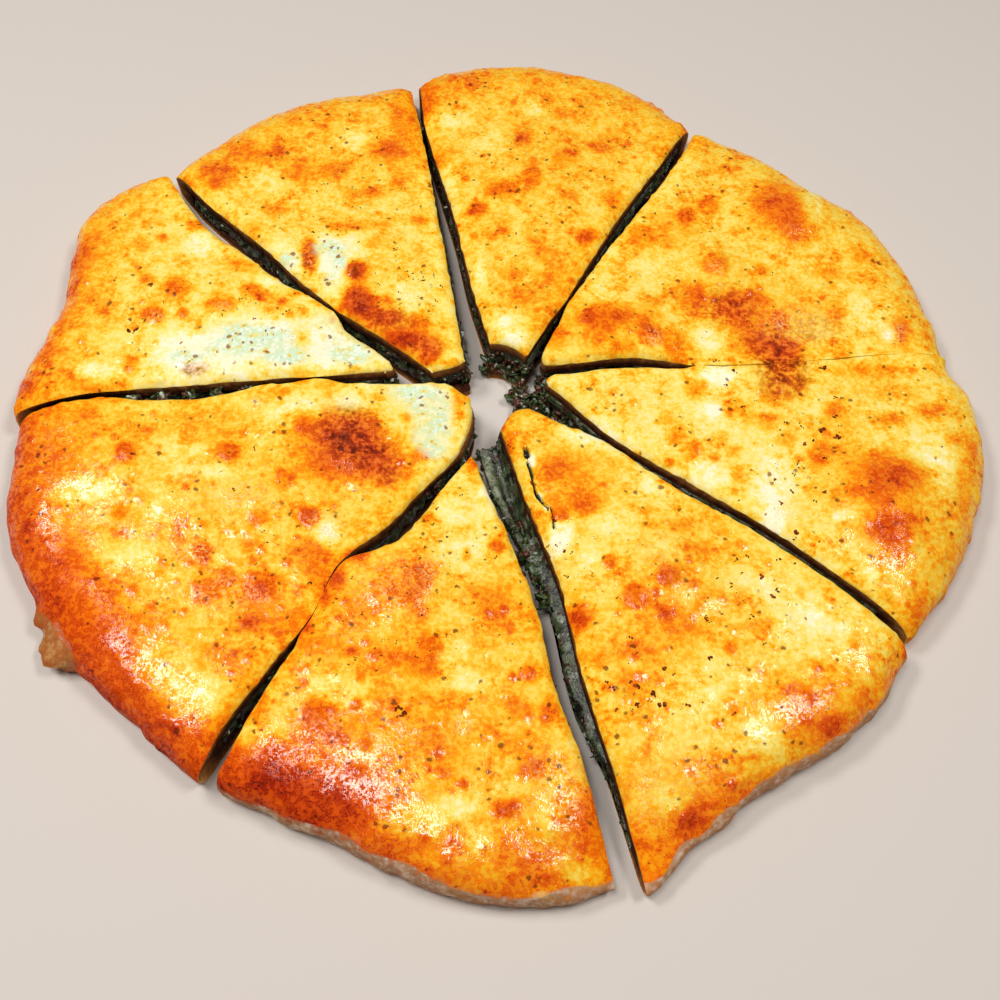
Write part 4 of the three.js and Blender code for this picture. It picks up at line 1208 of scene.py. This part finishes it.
def lumps_mesh(name, places, axes, material):
    """One piece from many lumps, each with its place and its three half axes."""
    points, faces = ball(BIT_ROUNDNESS)
    middles = np.asarray(places)[:, None]
    all_points = middles + np.einsum("pk,nkj->npj", points, np.asarray(axes))
    all_points += waves(all_points, *BIT_LUMPS)[..., None] * (all_points - middles)
    all_points[..., 2] = np.maximum(all_points[..., 2], ABOVE_FLOOR)
    all_faces = faces[None] + (len(points) * np.arange(len(places)))[:, None, None]
    return make_mesh(name, all_points.reshape(-1, 3), [all_faces.reshape(-1, 3)], {}, material)


def bits_material(name, colours, roughness, shine):
    s = Shader(name)
    colour = s.ramp(s.noise(*BIT_GRAIN), colours)
    return s.finish({"Base Color": colour, "Roughness": roughness, "Specular IOR Level": shine})


def any_way_up(chance):
    """Three axes at right angles, turned by chance."""
    return np.linalg.qr(chance.normal(size=(3, 3)))[0]


def scatter_bits(name, count, half_sizes, colours, seed):
    chance = np.random.default_rng(seed)
    places, axes = [], []
    for face, out in cut_faces:
        for _ in range(count):
            row, layer = (int(chance.integers(1, n - 1)) for n in face.shape[:2])
            turned = any_way_up(chance)
            sizes = np.array(half_sizes) * chance.uniform(*STUCK_SIZES, 3)
            places.append(face[row, layer] + out * chance.uniform(*STUCK_DEPTH) * sizes.min())
            axes.append(turned * sizes[:, None])
    for x, y, z, half in SPILLED:
        for _ in range(count // 3):
            turned = any_way_up(chance)
            offset = chance.normal(size=3) * (half, half, SPILLED_HEIGHT) * SPILLED_SPREAD
            offset[2] = abs(offset[2])
            places.append(np.array((x, y, z)) - (*BREAD_MIDDLE, 0) + offset)
            axes.append(turned * (np.array(half_sizes) * chance.uniform(*SPILLED_SIZES, 3))[:, None])
    bits = lumps_mesh(name, places, axes, bits_material(name, colours, MOIST, MOIST_SHINE))
    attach(bits, "root")


scatter_bits("leaf_scraps", LEAF_SCRAPS, LEAF_SIZE, LEAF, 5)
scatter_bits("meat_crumbs", MEAT_CRUMBS, MEAT_SIZE, MEAT, 6)
scatter_bits("onion_bits", ONION_BITS, ONION_SIZE, ONION, 7)


# Burnt specks
# Crumbs of dough and filling that fell on the crust and burnt dark in the oven. They are baked on to the
# top, a few large ones by themselves and many fine ones in loose swarms.
# Large ones: picture x, y, and half size in millimetres.
BURNT = (
    (630, 637, .7), (666, 669, .9), (614, 689, .7), (638, 687, .6), (630, 682, .5), (655, 693, 1.2),
    (661, 704, 1.1), (637, 705, .7), (616, 708, .6), (689, 704, .7), (734, 714, .4), (711, 657, .7),
    (706, 617, .6), (746, 557, .6), (736, 560, .5), (779, 559, .5), (794, 563, .5), (763, 575, .6),
    (742, 573, .5), (732, 586, .5), (772, 595, .6), (777, 590, .5), (739, 605, .4), (750, 615, .6),
    (709, 599, .4), (617, 597, .4), (726, 385, .5), (717, 361, .5), (742, 407, .5), (786, 423, .6),
    (834, 415, .7), (825, 427, 1.1), (836, 438, 1.0), (805, 444, .7), (812, 439, .5), (798, 462, .6),
    (774, 480, .5), (794, 475, .5), (826, 458, .6), (793, 492, .5), (823, 493, .8), (816, 501, .6),
    (781, 503, .5), (796, 531, .7), (794, 539, .5), (823, 369, .8), (836, 397, .6), (715, 362, .6),
    (735, 370, .6), (395, 710, .7), (400, 708, .7), (404, 713, .6), (399, 716, .6), (397, 704, .4),
    (133, 454, .8), (135, 331, .9), (150, 285, .7), (355, 658, .4), (343, 622, .4), (508, 446, .4),
    (534, 482, .7), (538, 496, .6), (548, 508, .6), (553, 521, .7), (557, 545, .5), (564, 550, .5),
    (571, 552, .4),
)
# Swarms of fine specks: picture x, y, half width, half height, and how many.
SWARMS = (
    (320, 190, 80, 50, 45), (520, 240, 50, 80, 40), (560, 130, 80, 40, 14), (790, 460, 50, 60, 26),
    (700, 610, 100, 60, 34), (440, 545, 40, 35, 34), (160, 300, 70, 50, 24), (730, 330, 70, 40, 40),
    (290, 560, 80, 50, 40), (640, 690, 50, 30, 18), (380, 280, 50, 40, 30), (420, 640, 60, 50, 24),
    (200, 480, 90, 60, 24), (560, 560, 40, 50, 24), (680, 220, 60, 40, 16), (425, 290, 26, 44, 46),
    (250, 325, 60, 22, 24),
)
FINE_SPECK, FINE_SIZES, SWARM_SPREAD = 0.26, (0.6, 1.5), 0.6
# A larger speck has broken into three, a little apart.
BREAKS_FROM, BROKEN_PIECES = 0.3, 3
BROKEN_APART, PIECE_SIZE, PIECE_SIZES = (2, 1.6), 0.8, (0.6, 1.2)
FLATNESS, SPECK_LENGTHS, SPECK_WIDTHS, SPECK_RISE = 0.3, (0.6, 1.3), (0.4, 0.8), 0.1
DRY_CHAR = 0.9
CHAR = ((0.36, (66, 18, 6)), (0.5, (116, 42, 12)), (0.64, (170, 80, 28)))

tops = np.concatenate([points for points, _ in crust_tops])
top_normals = np.concatenate([normals for _, normals in crust_tops])
top_picture = seen_at(tops)
chance = np.random.default_rng(21)
wanted = list(BURNT)
for x, y, wide, high, count in SWARMS:
    for _ in range(count):
        speck_x = x + wide * chance.normal() * SWARM_SPREAD
        speck_y = y + high * chance.normal() * SWARM_SPREAD
        wanted.append((speck_x, speck_y, FINE_SPECK * chance.uniform(*FINE_SIZES)))
pieces = []
for x, y, size in wanted:
    for _ in range(BROKEN_PIECES if size > BREAKS_FROM else 1):
        piece_x = x + BROKEN_APART[0] * size * chance.normal()
        piece_y = y + BROKEN_APART[1] * size * chance.normal()
        pieces.append((piece_x, piece_y, PIECE_SIZE * size * chance.uniform(*PIECE_SIZES)))
places, axes = [], []
for x, y, size in pieces:
    nearest = ((top_picture - (x, y)) ** 2).sum(-1).argmin()
    up = top_normals[nearest]
    turned, _ = np.linalg.qr(np.stack((up, chance.normal(size=3), chance.normal(size=3)), 1))
    sizes = size * np.array((FLATNESS, chance.uniform(*SPECK_LENGTHS), chance.uniform(*SPECK_WIDTHS)))
    places.append(tops[nearest] + SPECK_RISE * size * up)
    axes.append(turned.T * sizes[:, None])
specks = lumps_mesh("burnt_specks", places, axes, bits_material("char", CHAR, DRY_CHAR, SHEEN_LEVEL))
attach(specks, "root")


# The floor, the light and the viewer
# A plain pale table top that the bread lies on, under three soft boxes overhead and dim pale surroundings,
# seen from above its near side.
FLOOR_HALF = 3.0
FLOOR_COLOUR, FLOOR_ROUGHNESS = (212, 203, 195), 0.7
floor_mesh = bpy.data.meshes.new("table_top")
corners = [(FLOOR_HALF * x, FLOOR_HALF * y, 0) for x, y in ((-1, -1), (1, -1), (1, 1), (-1, 1))]
floor_mesh.from_pydata(corners, [], [(0, 1, 2, 3)])
floor = bpy.data.objects.new("table_top", floor_mesh)
bpy.context.scene.collection.objects.link(floor)
pale_table = Shader("pale_table").finish({"Base Color": srgb(*FLOOR_COLOUR), "Roughness": FLOOR_ROUGHNESS})
floor_mesh.materials.append(pale_table)

# The soft boxes, to the left, in front and to the right: place in metres and power.
LAMPS = (((-0.60, 0.14, 0.90), 4.4), ((-0.20, -0.14, 0.92), 3.5), ((0.46, 0.03, 0.90), 3.7))
LAMP_LENGTH, LAMP_WIDTH = 0.34, 0.2
LAMP_COLOUR = 1.0, 0.98, 0.95
for number, (place, power) in enumerate(LAMPS, 1):
    lamp_data = bpy.data.lights.new(f"soft_box_{number}", "AREA")
    lamp_data.shape = "RECTANGLE"
    lamp_data.size, lamp_data.size_y = LAMP_LENGTH, LAMP_WIDTH
    lamp_data.energy = power
    lamp_data.color = LAMP_COLOUR
    lamp = bpy.data.objects.new(f"soft_box_{number}", lamp_data)
    lamp.location = place
    lamp.rotation_euler = (-Vector(place)).to_track_quat("-Z", "Y").to_euler()
    bpy.context.scene.collection.objects.link(lamp)

SURROUND_COLOUR, SURROUND_STRENGTH = (1.0, 0.98, 0.96, 1.0), 0.1
world = bpy.data.worlds.new("surroundings")
world.use_nodes = True
surround = world.node_tree.nodes["Background"]
surround.inputs["Color"].default_value = SURROUND_COLOUR
surround.inputs["Strength"].default_value = SURROUND_STRENGTH
bpy.context.scene.world = world
bpy.context.scene.view_settings.view_transform = "Standard"

SENSOR, NEAREST_SEEN = 36.0, 0.01
camera_data = bpy.data.cameras.new("viewer")
camera_data.sensor_width = SENSOR
camera_data.lens = SENSOR * FOCAL / PICTURE
camera_data.clip_start = NEAREST_SEEN
camera = bpy.data.objects.new("viewer", camera_data)
right, up, ahead = viewer_axes()
turn = Matrix((right, up, -ahead)).transposed().to_4x4()
turn.translation = Vector(EYE * MM)
camera.matrix_world = turn
bpy.context.scene.collection.objects.link(camera)
bpy.context.scene.camera = camera
